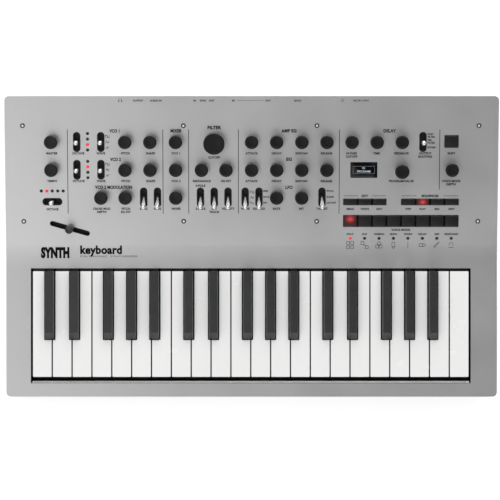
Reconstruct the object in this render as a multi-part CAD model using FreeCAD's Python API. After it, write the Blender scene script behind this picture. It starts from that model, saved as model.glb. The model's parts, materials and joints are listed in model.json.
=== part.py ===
"""Compact polyphonic synthesizer: 37 slim keys, a sloping control panel and a wooden rear panel.

Frame: +X to the player's right, +Y to the rear, +Z up, origin under the middle of the case at the
level of the table. Everything on the sloping part of the top panel is drawn in panel coordinates
(x, s, h): x as above, s up the slope from the line where the level and sloped planes would meet, and
h out of the panel's top face. on_panel() carries such a shape into the frame. Sizes are millimetres.
"""
import FreeCAD
import Part

import math
import os

# ---- casing ----
WIDTH = 500.0
DEPTH = 305.0
SHEET = 2.0              # thickness of the aluminium top panel
CORNER_R = 4.5           # the top panel's corners, in plan
FOOT_H = 3.0
FRONT_Z = 52.0           # top face of the panel around the keys
SLOPE = 7.4              # degrees, of the control area
BEND_Y = -8.0            # where the level and sloped planes would meet
BEND_R = 150.0           # bend between them, on the top face
CASE_INSET = 0.8         # the case stands back from the panel's edge
WALL = 2.5
REAR_FRAME = 11.7        # depth of the case's rear wall around the wooden panel
FLOOR_TOP = FOOT_H + WALL

# ---- keyboard ----
WHITE_COUNT = 22
WHITE_PITCH = 20.2
KEYBOARD_X = -0.85       # middle of the keyboard and of its opening
KEY_GAP = 0.9
BLACK_W = 9.2
BLACK_TOP_W = 8.0
SHARPS = ((1, -2.4), (2, 2.6), (4, -3.4), (5, 0.0), (6, 3.4))   # gap in the octave, shift from it
OCTAVES = 3
KEY_FRONT = -132.1
KEY_STEP = -24.5         # where the keys drop to pass under the panel
KEY_TAIL = 5.0
KEY_UNDER = 38.0
KEY_TOP = 56.0
TAIL_TOP = 47.0
BLACK_FRONT = -93.6
BLACK_BEVEL = 6.5        # length of the sloping front of a black key
BLACK_SHOULDER = 57.0
BLACK_TOP = 65.5
KEY_WALL = 1.8
KEY_SKIN = 2.5
BLACK_TAIL_W = 7.0
PIVOT_Z = 43.0           # the keys turn on one rod, at y = 0
PIVOT_R = 1.5
PIVOT_PLAY = 0.08
ACTUATOR_Y = -60.0
KEY_OPENING_HALF = 224.1 # half width of the panel's opening for the keys
KEY_OPENING_FRONT = -136.3
KEY_OPENING_REAR = -21.6
LIP_R = 2.4              # bend of the lip at the opening's front edge
LIP_DROP = 12.0

# ---- control panel, in panel coordinates ----
COLUMN = 25.3
ROWS = (115.9, 87.7, 59.5)
CUTOFF_S = 114.2
ENCODER_DROP = 1.3       # the encoder and the levers stand a little in front of their row of knobs
LEVER_DROP = 0.6
BOARD_H = -10.0          # top face of the control board
BOARD_T = 1.6
LEVER_SLOT = (20.4, 7.6)
LEVER_PIVOT_H = -5.0
LEVER_L = 19.0           # pivot to the centre of the rounded tip
LEVER_TIP_R = 2.35
LEVER_THROW = 27.0       # degrees each side of upright
TRUNNION_R = 0.8
PAIR_PITCH = 14.0        # between levers that stand side by side
LEGEND_SHIFT = 4.4       # a lever with printing on its right stands this far left of its column
LED_R = 1.55
LED_PITCH = 5.55
BUTTON_PITCH = 14.7
BUTTON_W = 13.0
BUTTON_ROWS = {"step": (34.85, 12.2), "function": (54.35, 6.8)}   # s of the middle, height of the slot
BUTTON_PROUD = 1.6
BUTTON_TRAVEL = 1.0
SHIFT_SIZE = (14.5, 12.8)
SLIDER_AT = (-184.9, 27.2)
SLIDER_ANGLE = -15.9
SLIDER_SLOT = (42.0, 5.2)
SLIDER_CAP_TOP = 13.6
DISPLAY_SIZE = (27.4, 16.1)
DISPLAY_DROP = 0.8
OCTAVE_LIGHTS_S = 65.5
VOICE_LIGHTS_S = 17.1
SCREW_X = (-231.7, -69.0, 66.1, 230.0)
SCREW_S = (34.5, 131.9)

# Column and row of each small knob; some columns stand a little outside the even pitch
KNOBS = {
    "knob_master_level": (-8, 0), "knob_tempo": (-8, 1),
    "knob_osc1_pitch": (-5.05, 0), "knob_osc1_shape": (-4.05, 0),
    "knob_osc2_pitch": (-5.05, 1), "knob_osc2_shape": (-4.05, 1),
    "knob_cross_mod": (-6.02, 2), "knob_pitch_envelope": (-5.05, 2),
    "knob_mix_osc1": (-3.03, 0), "knob_mix_osc2": (-3.03, 1), "knob_mix_noise": (-3.03, 2),
    "knob_resonance": (-2, 1), "knob_filter_envelope": (-1.02, 1),
    "knob_amp_attack": (0, 0), "knob_amp_decay": (1, 0),
    "knob_amp_sustain": (2, 0), "knob_amp_release": (3, 0),
    "knob_env_attack": (0, 1), "knob_env_decay": (1, 1),
    "knob_env_sustain": (2, 1), "knob_env_release": (3, 1),
    "knob_lfo_rate": (1, 2), "knob_lfo_depth": (2, 2),
    "knob_delay_cutoff": (4, 0), "knob_delay_time": (5, 0), "knob_delay_feedback": (6, 0),
    "knob_voice_depth": (8, 1),
}
SMALL_KNOB = (7.1, 6.85, 13.0)      # base radius, top radius, height
CUTOFF_KNOB = (11.2, 10.8, 12.5)
ENCODER_KNOB = (7.5, 7.25, 16.5)
KNOB_GAP = 0.8
SHAFT_R = 3.0
SHAFT_FLAT = 2.2                    # distance of the flat from the shaft's axis

# ---- rear panel ----
WOOD_X = 238.0
WOOD_Z = (12.0, 64.0)
WOOD_T = 8.0
WOOD_REAR = 150.5
WOOD_R = 6.0
SOCKET_Z = 40.0
PHONE_JACKS = (-132.8, -114.8, -96.8)
MINI_JACKS = (-57.4, -40.4)
ROUND_SOCKETS = (-18.5, 16.5)
DATA_SOCKET = 46.4
POWER_BUTTON = 91.8
DC_INLET = 110.0
PHONE_R = 3.2
MINI_R = 1.8
ROUND_R = 6.75
DC_R = 2.9
STEM_R = 1.8             # of the power button

SIN = math.sin(math.radians(SLOPE))
COS = math.cos(math.radians(SLOPE))
TAN = math.tan(math.radians(SLOPE))
BEND_T = BEND_R * math.tan(math.radians(SLOPE / 2))
X_AXIS = FreeCAD.Vector(1, 0, 0)
Y_AXIS = FreeCAD.Vector(0, 1, 0)
Z_AXIS = FreeCAD.Vector(0, 0, 1)


# ---- shapes used everywhere ----
def vec(x, y, z):
    return FreeCAD.Vector(x, y, z)


def box(x, y, z):
    """A box between two values along each axis."""
    return Part.makeBox(x[1] - x[0], y[1] - y[0], z[1] - z[0], vec(x[0], y[0], z[0]))


def block(cx, cy, w, d, z):
    """A box of plan size w by d centred on (cx, cy), between the two heights of z."""
    return box((cx - w / 2, cx + w / 2), (cy - d / 2, cy + d / 2), z)


def rod(cx, cy, r, z):
    """An upright cylinder between the two heights of z."""
    return Part.makeCylinder(r, z[1] - z[0], vec(cx, cy, z[0]))


def rod_y(x, z, r, y):
    """A cylinder along Y between the two values of y."""
    return Part.makeCylinder(r, y[1] - y[0], vec(x, y[0], z), Y_AXIS)


def rod_x(y, z, r, x):
    """A cylinder along X between the two values of x."""
    return Part.makeCylinder(r, x[1] - x[0], vec(x[0], y, z), X_AXIS)


def rounded(cx, cy, w, d, r, z):
    """A block with rounded upright edges."""
    solid = block(cx, cy, w, d, z)
    upright = [e for e in solid.Edges if abs(e.BoundBox.ZLength - (z[1] - z[0])) < 1e-6]
    return solid.makeFillet(r, upright)


def oblong(cx, cy, length, width, z, angle=0.0):
    """A slot-shaped prism with full-round ends, lying along X turned by angle."""
    solid = rounded(0, 0, length, width, width / 2 - 0.001, z)
    solid.rotate(vec(0, 0, 0), Z_AXIS, angle)
    solid.translate(vec(cx, cy, 0))
    return solid


def joined(shapes):
    """One solid out of several that touch or overlap."""
    return shapes[0].multiFuse(shapes[1:]).removeSplitter()


def less(shape, tools):
    """shape with every tool cut away."""
    return shape.cut(tools)


def moved(shape, x=0.0, y=0.0, z=0.0):
    copy = shape.copy()
    copy.translate(vec(x, y, z))
    return copy


def prism_x(outline, x):
    """The (y, z) outline extruded between the two values of x."""
    points = [vec(x[0], y, z) for y, z in outline]
    face = Part.Face(Part.makePolygon(points + points[:1]))
    return face.extrude(vec(x[1] - x[0], 0, 0))


def on_panel(shape):
    """Carries a shape from panel coordinates into the frame."""
    placed = shape.copy()
    placed.rotate(vec(0, 0, 0), X_AXIS, SLOPE)
    placed.translate(vec(0, BEND_Y, FRONT_Z))
    return placed


# ---- the bent surface ----
def skin_z(y, depth):
    """Height of the surface that lies depth under the panel's top face."""
    flat_end = BEND_Y - BEND_T
    slope_start = flat_end + (BEND_R + depth) * SIN
    if y <= flat_end:
        return FRONT_Z - depth
    if y >= slope_start:
        return FRONT_Z + (y - BEND_Y) * TAN - depth / COS
    return FRONT_Z + BEND_R - math.sqrt((BEND_R + depth) ** 2 - (y - flat_end) ** 2)


def skin_edges(depth, y0, y1):
    """Edges along that surface from y0 on the level part to y1 on the slope, at x = 0."""
    flat_end = BEND_Y - BEND_T
    radius = BEND_R + depth

    def on_arc(degrees):
        a = math.radians(degrees)
        return vec(0, flat_end + radius * math.sin(a), FRONT_Z + BEND_R - radius * math.cos(a))

    start = on_arc(0)
    end = on_arc(SLOPE)
    return [
        Part.makeLine(vec(0, y0, FRONT_Z - depth), start),
        Part.Arc(start, on_arc(SLOPE / 2), end).toShape(),
        Part.makeLine(end, vec(0, y1, skin_z(y1, depth))),
    ]


def under_skin(top_depth, y0, y1, half_width, bottom_edges):
    """A solid under the bent surface, closed below by the edges given, from y1 back to y0."""
    edges = skin_edges(top_depth, y0, y1) + bottom_edges
    face = Part.Face(Part.Wire(Part.__sortEdges__(edges)))
    solid = face.extrude(vec(2 * half_width, 0, 0))
    solid.translate(vec(-half_width, 0, 0))
    return solid


def flat_bottom(depth, y0, y1, z):
    """Closing edges for under_skin: down, along a level floor and up."""
    corners = [vec(0, y1, skin_z(y1, depth)), vec(0, y1, z), vec(0, y0, z), vec(0, y0, FRONT_Z - depth)]
    return [Part.makeLine(a, b) for a, b in zip(corners, corners[1:])]


def case_volume(inset, bottom, rear_inset):
    """The space under the top panel, drawn in by inset, down to the height bottom."""
    y0 = -DEPTH / 2 + inset
    y1 = DEPTH / 2 - rear_inset
    half = WIDTH / 2 - inset
    solid = under_skin(SHEET, y0, y1, half, flat_bottom(SHEET, y0, y1, bottom))
    corner = max(CORNER_R - inset, 1.0)
    plan = rounded(0, (y0 + y1) / 2, 2 * half, y1 - y0, corner, (0, 2 * FRONT_Z))
    return solid.common(plan)


# ---- keyboard layout ----
LEFT_END = KEYBOARD_X - WHITE_COUNT * WHITE_PITCH / 2
BLACK_X = [
    LEFT_END + (7 * octave + gap) * WHITE_PITCH + shift
    for octave in range(OCTAVES)
    for gap, shift in SHARPS
]


def white_spans(index):
    """Left and right sides of a white key at its front, and between the black keys."""
    left = LEFT_END + index * WHITE_PITCH
    right = left + WHITE_PITCH
    front = [left + KEY_GAP / 2, right - KEY_GAP / 2]
    rear = list(front)
    for x in BLACK_X:
        if abs(x - left) < WHITE_PITCH / 2:
            rear[0] = x + BLACK_W / 2 + KEY_GAP
        if abs(x - right) < WHITE_PITCH / 2:
            rear[1] = x - BLACK_W / 2 - KEY_GAP
    return front, rear


def pivot_hole(x):
    """Tool for the hole through which the pivot rod runs, a little longer than the key is wide."""
    return rod_x(0, PIVOT_Z, PIVOT_R + PIVOT_PLAY, (x[0] - 1, x[1] + 1))


def hollow(x, y, top):
    """Tool for the open underside of a key, between its walls."""
    return box((x[0] + KEY_WALL, x[1] - KEY_WALL), y, (KEY_UNDER - 1, top - KEY_SKIN))


def actuator(x):
    """Rib under the key that presses its rubber dome."""
    middle = sum(x) / 2
    return block(middle, ACTUATOR_Y, x[1] - x[0] - 2 * KEY_WALL, 2, (KEY_UNDER, KEY_TOP - KEY_SKIN))


def white_key(index):
    front, rear = white_spans(index)
    notch = BLACK_FRONT - KEY_GAP
    head = box(front, (KEY_FRONT, notch), (KEY_UNDER, KEY_TOP))
    body = box(rear, (notch - 1, KEY_STEP), (KEY_UNDER, KEY_TOP))
    tail = box(rear, (KEY_STEP - 1, KEY_TAIL), (KEY_UNDER, TAIL_TOP))
    key = joined([head, body, tail])
    corners = [
        e for e in key.Edges
        if e.BoundBox.YMax < KEY_FRONT + 0.01 and e.BoundBox.ZLength > 10
    ]
    key = key.makeFillet(1.0, corners)
    top = [e for e in key.Edges if e.BoundBox.ZMin > KEY_TOP - 0.01 and e.BoundBox.YMin < KEY_STEP - 1]
    key = key.makeFillet(0.6, top)
    pockets = [
        hollow(front, (KEY_FRONT + KEY_WALL, notch - KEY_WALL), KEY_TOP),
        hollow(rear, (notch - KEY_WALL - 1, KEY_STEP - KEY_WALL), KEY_TOP),
    ]
    key = less(key, pockets + [pivot_hole(rear)])
    return joined([key, actuator(rear)])


def black_key():
    """The one moulding of the black keys, centred on x = 0."""
    base = (-BLACK_W / 2, BLACK_W / 2)
    tail = (-BLACK_TAIL_W / 2, BLACK_TAIL_W / 2)

    def ring(half, y, z):
        corners = [vec(-half, y, z), vec(half, y, z), vec(half, KEY_STEP, z), vec(-half, KEY_STEP, z)]
        return Part.makePolygon(corners + corners[:1])

    crown = Part.makeLoft([
        ring(BLACK_W / 2, BLACK_FRONT, BLACK_SHOULDER),
        ring(BLACK_TOP_W / 2, BLACK_FRONT + BLACK_BEVEL, BLACK_TOP),
    ], True, True)
    edges = [
        e for e in crown.Edges
        if e.BoundBox.ZMax > BLACK_TOP - 0.01 and e.BoundBox.YMin < KEY_STEP - 1
    ]
    crown = crown.makeFillet(0.8, edges)
    key = joined([
        crown,
        box(base, (BLACK_FRONT, KEY_STEP), (KEY_UNDER, BLACK_SHOULDER)),
        box(tail, (KEY_STEP - 1, KEY_TAIL), (KEY_UNDER, TAIL_TOP)),
    ])
    pocket = hollow(base, (BLACK_FRONT + KEY_WALL, KEY_STEP - KEY_WALL), KEY_TOP)
    key = less(key, [pocket, pivot_hole(tail)])
    return joined([key, actuator(base)])


def white_keys(notes):
    """Every white key whose place in the octave, counted from 0 at C, is in notes."""
    return [white_key(i) for i in range(WHITE_COUNT) if i % 7 in notes]


def black_keys():
    key = black_key()
    return [moved(key, x=x) for x in BLACK_X]


def key_middles():
    """Middle of every key where its actuator stands."""
    return [sum(white_spans(i)[1]) / 2 for i in range(WHITE_COUNT)] + BLACK_X


# ---- keybed ----
CHASSIS_X = 223.0
CHASSIS_PLATE = (20.0, 22.5)
CHASSIS_Y = (-135.8, 8.0)
CHASSIS_RIBS = (-219.0, -110.0, 0.0, 110.0, 219.0)
GUIDE_TOP = 44.0
LUG_T = 1.3
CONTACT_Z = 29.0
DOME_TOP = 34.0
KEYBED_SCREWS = [(x, y) for x in (-219.0, 0.0, 219.0) for y in (-118.0, 2.0)]
CASE_SCREW_R = 1.4


def keybed_chassis():
    """Tray under the keys, its ribs down to the floor, the key guides and the lugs for the pivot rod."""
    parts = [box((-CHASSIS_X, CHASSIS_X), CHASSIS_Y, CHASSIS_PLATE)]
    parts += [chassis_rib(x) for x in CHASSIS_RIBS]
    for i in range(WHITE_COUNT):
        parts.append(block(sum(white_spans(i)[0]) / 2, -118, 8, 5, (CHASSIS_PLATE[1], GUIDE_TOP)))
    for x in BLACK_X:
        parts.append(block(x, -84, 4, 5, (CHASSIS_PLATE[1], GUIDE_TOP)))
        parts.append(pivot_lug(x - (BLACK_TAIL_W + BLACK_W + 2 * KEY_GAP) / 4 - LUG_T / 2))
    parts += [pivot_lug(x) for x in (-CHASSIS_X - 1.2, CHASSIS_X - 0.1)]
    for y in (-74, -46):
        parts.append(box((-215, 215), (y - 1, y + 1), (CHASSIS_PLATE[1], CONTACT_Z)))
    return parts


def chassis_rib(x):
    """Rib from front to rear, with the posts that the keybed screws go into where it has any."""
    z = (FLOOR_TOP, CHASSIS_PLATE[0])
    places = [place for place in KEYBED_SCREWS if place[0] == x]
    rib = joined([box((x - 2, x + 2), (-130, 8), z)] + [rod(*place, 4, z) for place in places])
    return less(rib, [rod(*place, CASE_SCREW_R, (FLOOR_TOP - 1, 16)) for place in places])


def pivot_lug(x):
    lug = box((x, x + LUG_T), (-5.05, 5), (CHASSIS_PLATE[1], TAIL_TOP))
    return lug.cut(rod_x(0, PIVOT_Z, PIVOT_R, (x - 1, x + 3)))


def key_contact_board():
    """Contact board on the chassis, and the rubber strip whose domes the keys press."""
    board = box((-221.5, 221.5), (-78, -42), (CONTACT_Z, CONTACT_Z + BOARD_T))
    strip = box((-221, 221), (-66, -54), (CONTACT_Z + BOARD_T, CONTACT_Z + 2.4))
    domes = [Part.makeCone(3.4, 2.4, DOME_TOP - CONTACT_Z - 2.4, vec(x, ACTUATOR_Y, CONTACT_Z + 2.4))
             for x in key_middles()]
    return [board, joined([strip] + domes)]


def key_springs():
    """One leaf spring under each key, from the chassis up to the key's underside."""
    leaf = 0.4
    outline = [
        (-40, CHASSIS_PLATE[1]), (-32.8, CHASSIS_PLATE[1]), (-16.8, KEY_UNDER - leaf),
        (-11, KEY_UNDER - leaf), (-11, KEY_UNDER), (-17.2, KEY_UNDER),
        (-33.2, CHASSIS_PLATE[1] + leaf), (-40, CHASSIS_PLATE[1] + leaf),
    ]
    width = 3.0
    return [prism_x(outline, (x - width, x + width)) for x in key_middles()]


# ---- control panel ----
def column_x(column):
    return column * COLUMN


FILTER_X = column_x(-1.5)


def knob_places():
    """Name to ((x, s), (base radius, top radius, height)) of every rotary control."""
    places = {
        name: ((column_x(column), ROWS[row]), SMALL_KNOB)
        for name, (column, row) in KNOBS.items()
    }
    places["knob_filter_cutoff"] = ((FILTER_X, CUTOFF_S), CUTOFF_KNOB)
    places["knob_program_encoder"] = ((column_x(6), ROWS[1] - ENCODER_DROP), ENCODER_KNOB)
    return places


def shaft(z):
    """A shaft with a flat on one side, on the axis, between two heights."""
    return rod(0, 0, SHAFT_R, z).cut(box((-5.05, 5), (SHAFT_FLAT, 5), (z[0] - 1, z[1] + 1)))


def knob(base_r, top_r, height):
    """Cap and shaft of one rotary control, on the axis: bevelled rim, shallow dish, pointer groove."""
    low = KNOB_GAP
    high = low + height
    rim = 0.7
    dish = 0.35
    profile = [
        (0, low), (base_r, low), (top_r + 0.05, high - rim), (top_r - rim, high),
        (top_r - 1.5, high), (top_r - 1.8, high - dish), (0, high - dish),
    ]
    points = [vec(r, 0, h) for r, h in profile]
    cap = Part.Face(Part.makePolygon(points + points[:1])).revolve(vec(0, 0, 0), Z_AXIS, 360)
    cap = Part.makeSolid(cap.Shells[0]) if cap.ShapeType != "Solid" else cap
    groove = box((-0.45, 0.45), (1.5, base_r + 1), (high - dish - 0.5, high + 1))
    hub_r = SHAFT_R + 1.5
    underside = rod(0, 0, base_r - 1.4, (low - 1, low + 6)).cut(rod(0, 0, hub_r, (low - 2, low + 7)))
    cap = less(cap, [groove, underside, shaft((low - 1, low + 9))])
    return [cap, shaft((-6, low + 9))]


def knob_at(name):
    (x, s), size = knob_places()[name]
    return [on_panel(moved(piece, x, s)) for piece in knob(*size)]


def potentiometers():
    """Bodies behind the rotary controls, and the slide control behind the pitch slider."""
    bodies = []
    for (x, s), _ in knob_places().values():
        body = block(x, s - 1, 9.8, 11, (BOARD_H, -3.6))
        collar = rod(x, s, 4.4, (-4, -2.6))
        bodies.append(on_panel(joined([body, collar]).cut(rod(x, s, SHAFT_R + PIVOT_PLAY, (-7, 0)))))
    slide = block(0, 0, 52, 8.6, (BOARD_H, -3.5))
    slide = slide.cut(block(0, 0, SLIDER_SLOT[0] + 1, 4.4, (-8, 0)))
    slide.rotate(vec(0, 0, 0), Z_AXIS, SLIDER_ANGLE)
    bodies.append(on_panel(moved(slide, *SLIDER_AT)))
    return bodies


def pitch_slider():
    """Round cap and flat stem, square to the panel, in the middle of its slanting slot."""
    cap = Part.makeCone(4.3, 4.0, SLIDER_CAP_TOP - 1.6, vec(0, 0, 1.6))
    cap = cap.makeFillet(0.6, [e for e in cap.Edges if e.BoundBox.ZMin > SLIDER_CAP_TOP - 0.1])
    stem = block(0, 0, 4.0, 3.0, (-7, 1.6))
    slider = joined([cap, stem])
    slider.rotate(vec(0, 0, 0), Z_AXIS, SLIDER_ANGLE)
    return [on_panel(moved(slider, *SLIDER_AT))]


WAVE_LEVER_X = column_x(-6) - 0.9
ROUTING_LEVER_X = column_x(7) - 3.6
SYNC_PAIR_X = -102.6
LFO_PAIR_X = 0.5

# Levers: rows that share a pivot line, as (s, x of each lever, rest angle towards the player)
LEVER_ROWS = {
    "levers_upper": (ROWS[0] - LEVER_DROP, (column_x(-7), WAVE_LEVER_X, ROUTING_LEVER_X), 0.0),
    "levers_middle": (ROWS[1] - LEVER_DROP, (column_x(-7), WAVE_LEVER_X), 0.0),
    "levers_lower": (
        ROWS[2] - LEVER_DROP,
        (SYNC_PAIR_X - PAIR_PITCH / 2, SYNC_PAIR_X + PAIR_PITCH / 2,
         FILTER_X - PAIR_PITCH, FILTER_X, FILTER_X + PAIR_PITCH,
         LFO_PAIR_X - PAIR_PITCH / 2, LFO_PAIR_X + PAIR_PITCH / 2, column_x(3) - LEGEND_SHIFT),
        LEVER_THROW,
    ),
}
OCTAVE_LEVER = (column_x(-8), 54.55)


def lever():
    """Bat lever with its ball and trunnion, pivot at the origin, standing upright."""
    ball = Part.makeSphere(2.2)
    bat = Part.makeCone(1.25, LEVER_TIP_R, LEVER_L)
    tip = Part.makeSphere(LEVER_TIP_R, vec(0, 0, LEVER_L))
    trunnion = rod_x(0, 0, TRUNNION_R, (-3.7, 3.7))
    return joined([ball, bat, tip, trunnion])


def lever_row(name):
    s, xs, rest = LEVER_ROWS[name]
    stick = lever()
    stick.rotate(vec(0, 0, 0), X_AXIS, rest)
    return [on_panel(moved(stick, x, s, LEVER_PIVOT_H)) for x in xs]


def octave_lever():
    """The lever of the lone cross slot, which swings left and right."""
    stick = lever()
    stick.rotate(vec(0, 0, 0), Z_AXIS, 90)
    return [on_panel(moved(stick, OCTAVE_LEVER[0], OCTAVE_LEVER[1], LEVER_PIVOT_H))]


def lever_case():
    """Housing of one lever switch, its mouth along Y, closed round the swing of the lever."""
    outer = block(0, 0, 9.4, 22.4, (BOARD_H, -2.2))
    mouth = block(0, 0, 5.8, 17.0, (-8.4, 0))
    holes = rod_x(0, LEVER_PIVOT_H, TRUNNION_R + PIVOT_PLAY, (-3.9, 3.9))
    return less(outer, [mouth, holes])


def switch_bodies():
    """Housings of the lever switches, and the push switches under the buttons."""
    housing = lever_case()
    bodies = [
        on_panel(moved(housing, x, s))
        for s, xs, _ in LEVER_ROWS.values()
        for x in xs
    ]
    cross = housing.copy()
    cross.rotate(vec(0, 0, 0), Z_AXIS, 90)
    bodies.append(on_panel(moved(cross, *OCTAVE_LEVER)))
    for x, s in button_places("step") + button_places("function") + [(column_x(8), ROWS[0])]:
        switch = joined([block(x, s, 6, 6, (BOARD_H, -7.6)), rod(x, s, 1.6, (-7.7, -6.9))])
        bodies.append(on_panel(switch))
    return bodies


def button_places(row):
    """(x, s) of each button of the step row, or of the row of three and four above it."""
    s = BUTTON_ROWS[row][0]
    places = [(column_x(6) + (i - 3.5) * BUTTON_PITCH, s) for i in range(8)]
    return places if row == "step" else places[:3] + places[4:]


def button(x, s, w, d):
    """One cap with rounded top edges, the flange that holds it in, and its plunger."""
    cap = block(x, s, w, d, (-2.5, BUTTON_PROUD))
    edges = [e for e in cap.Edges if e.BoundBox.ZMin > -2.4 or e.BoundBox.ZLength > 1]
    cap = cap.makeFillet(0.5, edges)
    flange = block(x, s, w + 1.0, d + 3.6, (-3.6, -2.5))
    plunger = rod(x, s, 1.5, (-5.6, -3.5))
    return on_panel(joined([cap, flange, plunger]))


def button_row(row):
    slot = BUTTON_ROWS[row][1]
    return [button(x, s, BUTTON_W, slot - 1.2) for x, s in button_places(row)]


def shift_button():
    return [button(column_x(8), ROWS[0], SHIFT_SIZE[0] - 1.2, SHIFT_SIZE[1] - 1.2)]


def led_places():
    """(x, s) of every indicator: two octave columns, the octave row, and the row of eight."""
    places = []
    for row in (0, 1):
        places += [(-166.1, ROWS[row] - 0.35 + (1.5 - i) * LED_PITCH) for i in range(4)]
    places += [(OCTAVE_LEVER[0] + (i - 2) * LED_PITCH, OCTAVE_LIGHTS_S) for i in range(5)]
    places += [(x, VOICE_LIGHTS_S) for x, _ in button_places("step")]
    return places


def indicator_lights():
    lights = []
    for x, s in led_places():
        barrel = rod(x, s, LED_R, (BOARD_H, 0.2))
        lights.append(on_panel(barrel.makeFillet(0.5, [e for e in barrel.Edges if e.BoundBox.ZMin > 0])))
    return lights


def display_place():
    return column_x(4.5), ROWS[1] - DISPLAY_DROP


def display_module():
    """Lens flush in the panel's window, and the display behind it."""
    x, s = display_place()
    lens = block(x, s, DISPLAY_SIZE[0] - 0.3, DISPLAY_SIZE[1] - 0.3, (-SHEET - 0.1, -0.4))
    module = block(x, s, 35, 22, (-5.5, -SHEET - 0.1))
    return [on_panel(lens), on_panel(module)]


def control_board():
    """Circuit board behind the control panel, with chips on its underside."""
    board = box((-216, 216), (13.6, 125), (BOARD_H - BOARD_T, BOARD_H))
    board = less(board, [rod(x, SCREW_S[0], 5.5, (-20, 0)) for x in SCREW_X])
    chips = [block(column_x(c), s, 12, 12, (BOARD_H - BOARD_T - 1.5, BOARD_H - BOARD_T))
             for c in (-7, -3, 1, 5) for s in (48, 74, 102)]
    return [on_panel(board)] + [on_panel(chip) for chip in chips]


# ---- casing parts ----
def panel_tools():
    """Everything cut out of the sloping part of the top panel, in panel coordinates."""
    through = (-SHEET - 2, 2)
    tools = [rod(x, s, SHAFT_R + 0.8, through) for (x, s), _ in knob_places().values()]
    for s, xs, _ in LEVER_ROWS.values():
        tools += [oblong(x, s, *LEVER_SLOT, through, 90) for x in xs]
    tools.append(oblong(*OCTAVE_LEVER, *LEVER_SLOT, through))
    tools += [rod(x, s, LED_R + 0.1, through) for x, s in led_places()]
    for places, height in ((button_places("step"), BUTTON_ROWS["step"][1]),
                           (button_places("function")[:3], BUTTON_ROWS["function"][1]),
                           (button_places("function")[3:], BUTTON_ROWS["function"][1])):
        middle = (places[0][0] + places[-1][0]) / 2
        tools.append(rounded(middle, places[0][1], len(places) * BUTTON_PITCH, height, 0.6, through))
    tools.append(rounded(column_x(8), ROWS[0], *SHIFT_SIZE, 0.8, through))
    tools.append(rounded(*display_place(), *DISPLAY_SIZE, 0.5, through))
    tools.append(oblong(*SLIDER_AT, *SLIDER_SLOT, through, SLIDER_ANGLE))
    tools += [rod(x, s, 1.7, through) for x in SCREW_X for s in SCREW_S]
    return tools


def key_lip():
    """Lip bent down along the front edge of the key opening, between its two relief notches."""
    start = KEY_OPENING_FRONT - LIP_R
    centre = FRONT_Z - LIP_R
    low = FRONT_Z - LIP_DROP
    inner = LIP_R - SHEET
    half = math.sqrt(0.5)

    def bend(r):
        a = vec(0, start, centre + r)
        b = vec(0, start + r * half, centre + r * half)
        c = vec(0, start + r, centre)
        return Part.Arc(a, b, c).toShape(), a, c

    outer_arc, outer_a, outer_c = bend(LIP_R)
    inner_arc, inner_a, inner_c = bend(inner)
    outer_low = vec(0, outer_c.y, low)
    inner_low = vec(0, inner_c.y, low)
    edges = [
        outer_arc, Part.makeLine(outer_c, outer_low), Part.makeLine(outer_low, inner_low),
        Part.makeLine(inner_low, inner_c), inner_arc, Part.makeLine(inner_a, outer_a),
    ]
    notch = 1.6
    half_length = KEY_OPENING_HALF - notch
    lip = Part.Face(Part.Wire(Part.__sortEdges__(edges))).extrude(vec(2 * half_length, 0, 0))
    lip.translate(vec(KEYBOARD_X - half_length, 0, 0))
    return lip


def top_panel():
    y0 = -DEPTH / 2
    y1 = DEPTH / 2
    below = skin_edges(SHEET, y0, y1)
    ends = [
        Part.makeLine(vec(0, y, skin_z(y, 0)), vec(0, y, skin_z(y, SHEET))) for y in (y0, y1)
    ]
    sheet = under_skin(0, y0, y1, WIDTH / 2, below + ends)
    sheet = sheet.common(rounded(0, 0, WIDTH, DEPTH, CORNER_R, (0, 2 * FRONT_Z)))
    opening = box(
        (KEYBOARD_X - KEY_OPENING_HALF, KEYBOARD_X + KEY_OPENING_HALF),
        (KEY_OPENING_FRONT - LIP_R, KEY_OPENING_REAR),
        (FRONT_Z - 2 * SHEET, FRONT_Z + SHEET),
    )
    sheet = less(sheet, [opening] + [on_panel(tool) for tool in panel_tools()])
    return [joined([sheet, key_lip()])]


def bottom_case():
    """Plastic tub with screw bosses, closed in front and at the sides, framing the rear panel."""
    outer = case_volume(CASE_INSET, FOOT_H, CASE_INSET)
    base_edges = [e for e in outer.Edges if e.BoundBox.ZMax < FOOT_H + 0.01]
    outer = outer.makeChamfer(1.5, base_edges)
    cavity = case_volume(CASE_INSET + WALL, FLOOR_TOP, REAR_FRAME + CASE_INSET)
    cavity = cavity.fuse(moved(cavity, z=5))
    rear = DEPTH / 2
    window_z = (WOOD_Z[0] + WOOD_Z[1]) / 2
    window_h = WOOD_Z[1] - WOOD_Z[0]
    pocket = wood_blank(2 * WOOD_X, window_h, WOOD_R, (WOOD_REAR - WOOD_T, rear + 1), window_z)
    window = wood_blank(2 * WOOD_X - 12, window_h - 12, 1.0, (rear - 30, rear), window_z)
    tub = less(outer, [cavity, pocket, window])
    room = case_volume(CASE_INSET + WALL, FLOOR_TOP - 1, REAR_FRAME + CASE_INSET)
    bosses = [on_panel(rod(x, s, 4, (-90, -SHEET))).common(room) for x in SCREW_X for s in SCREW_S]
    tub = joined([tub] + bosses)
    tools = [on_panel(rod(x, s, 1.5, (-18, 0))) for x in SCREW_X for s in SCREW_S]
    for x, y in KEYBED_SCREWS:
        tools.append(rod(x, y, CASE_SCREW_R + 0.2, (0, FLOOR_TOP + 1)))
        tools.append(rod(x, y, 3.2, (0, FOOT_H + 1.3)))
    return [less(tub, tools)]


def wood_blank(width, height, r, y, z_middle):
    """A board standing across the rear, with rounded corners."""
    blank = rounded(0, 0, width, height, r, (0, y[1] - y[0]))
    blank.rotate(vec(0, 0, 0), X_AXIS, 90)
    blank.translate(vec(0, y[1], z_middle))
    return blank


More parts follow.
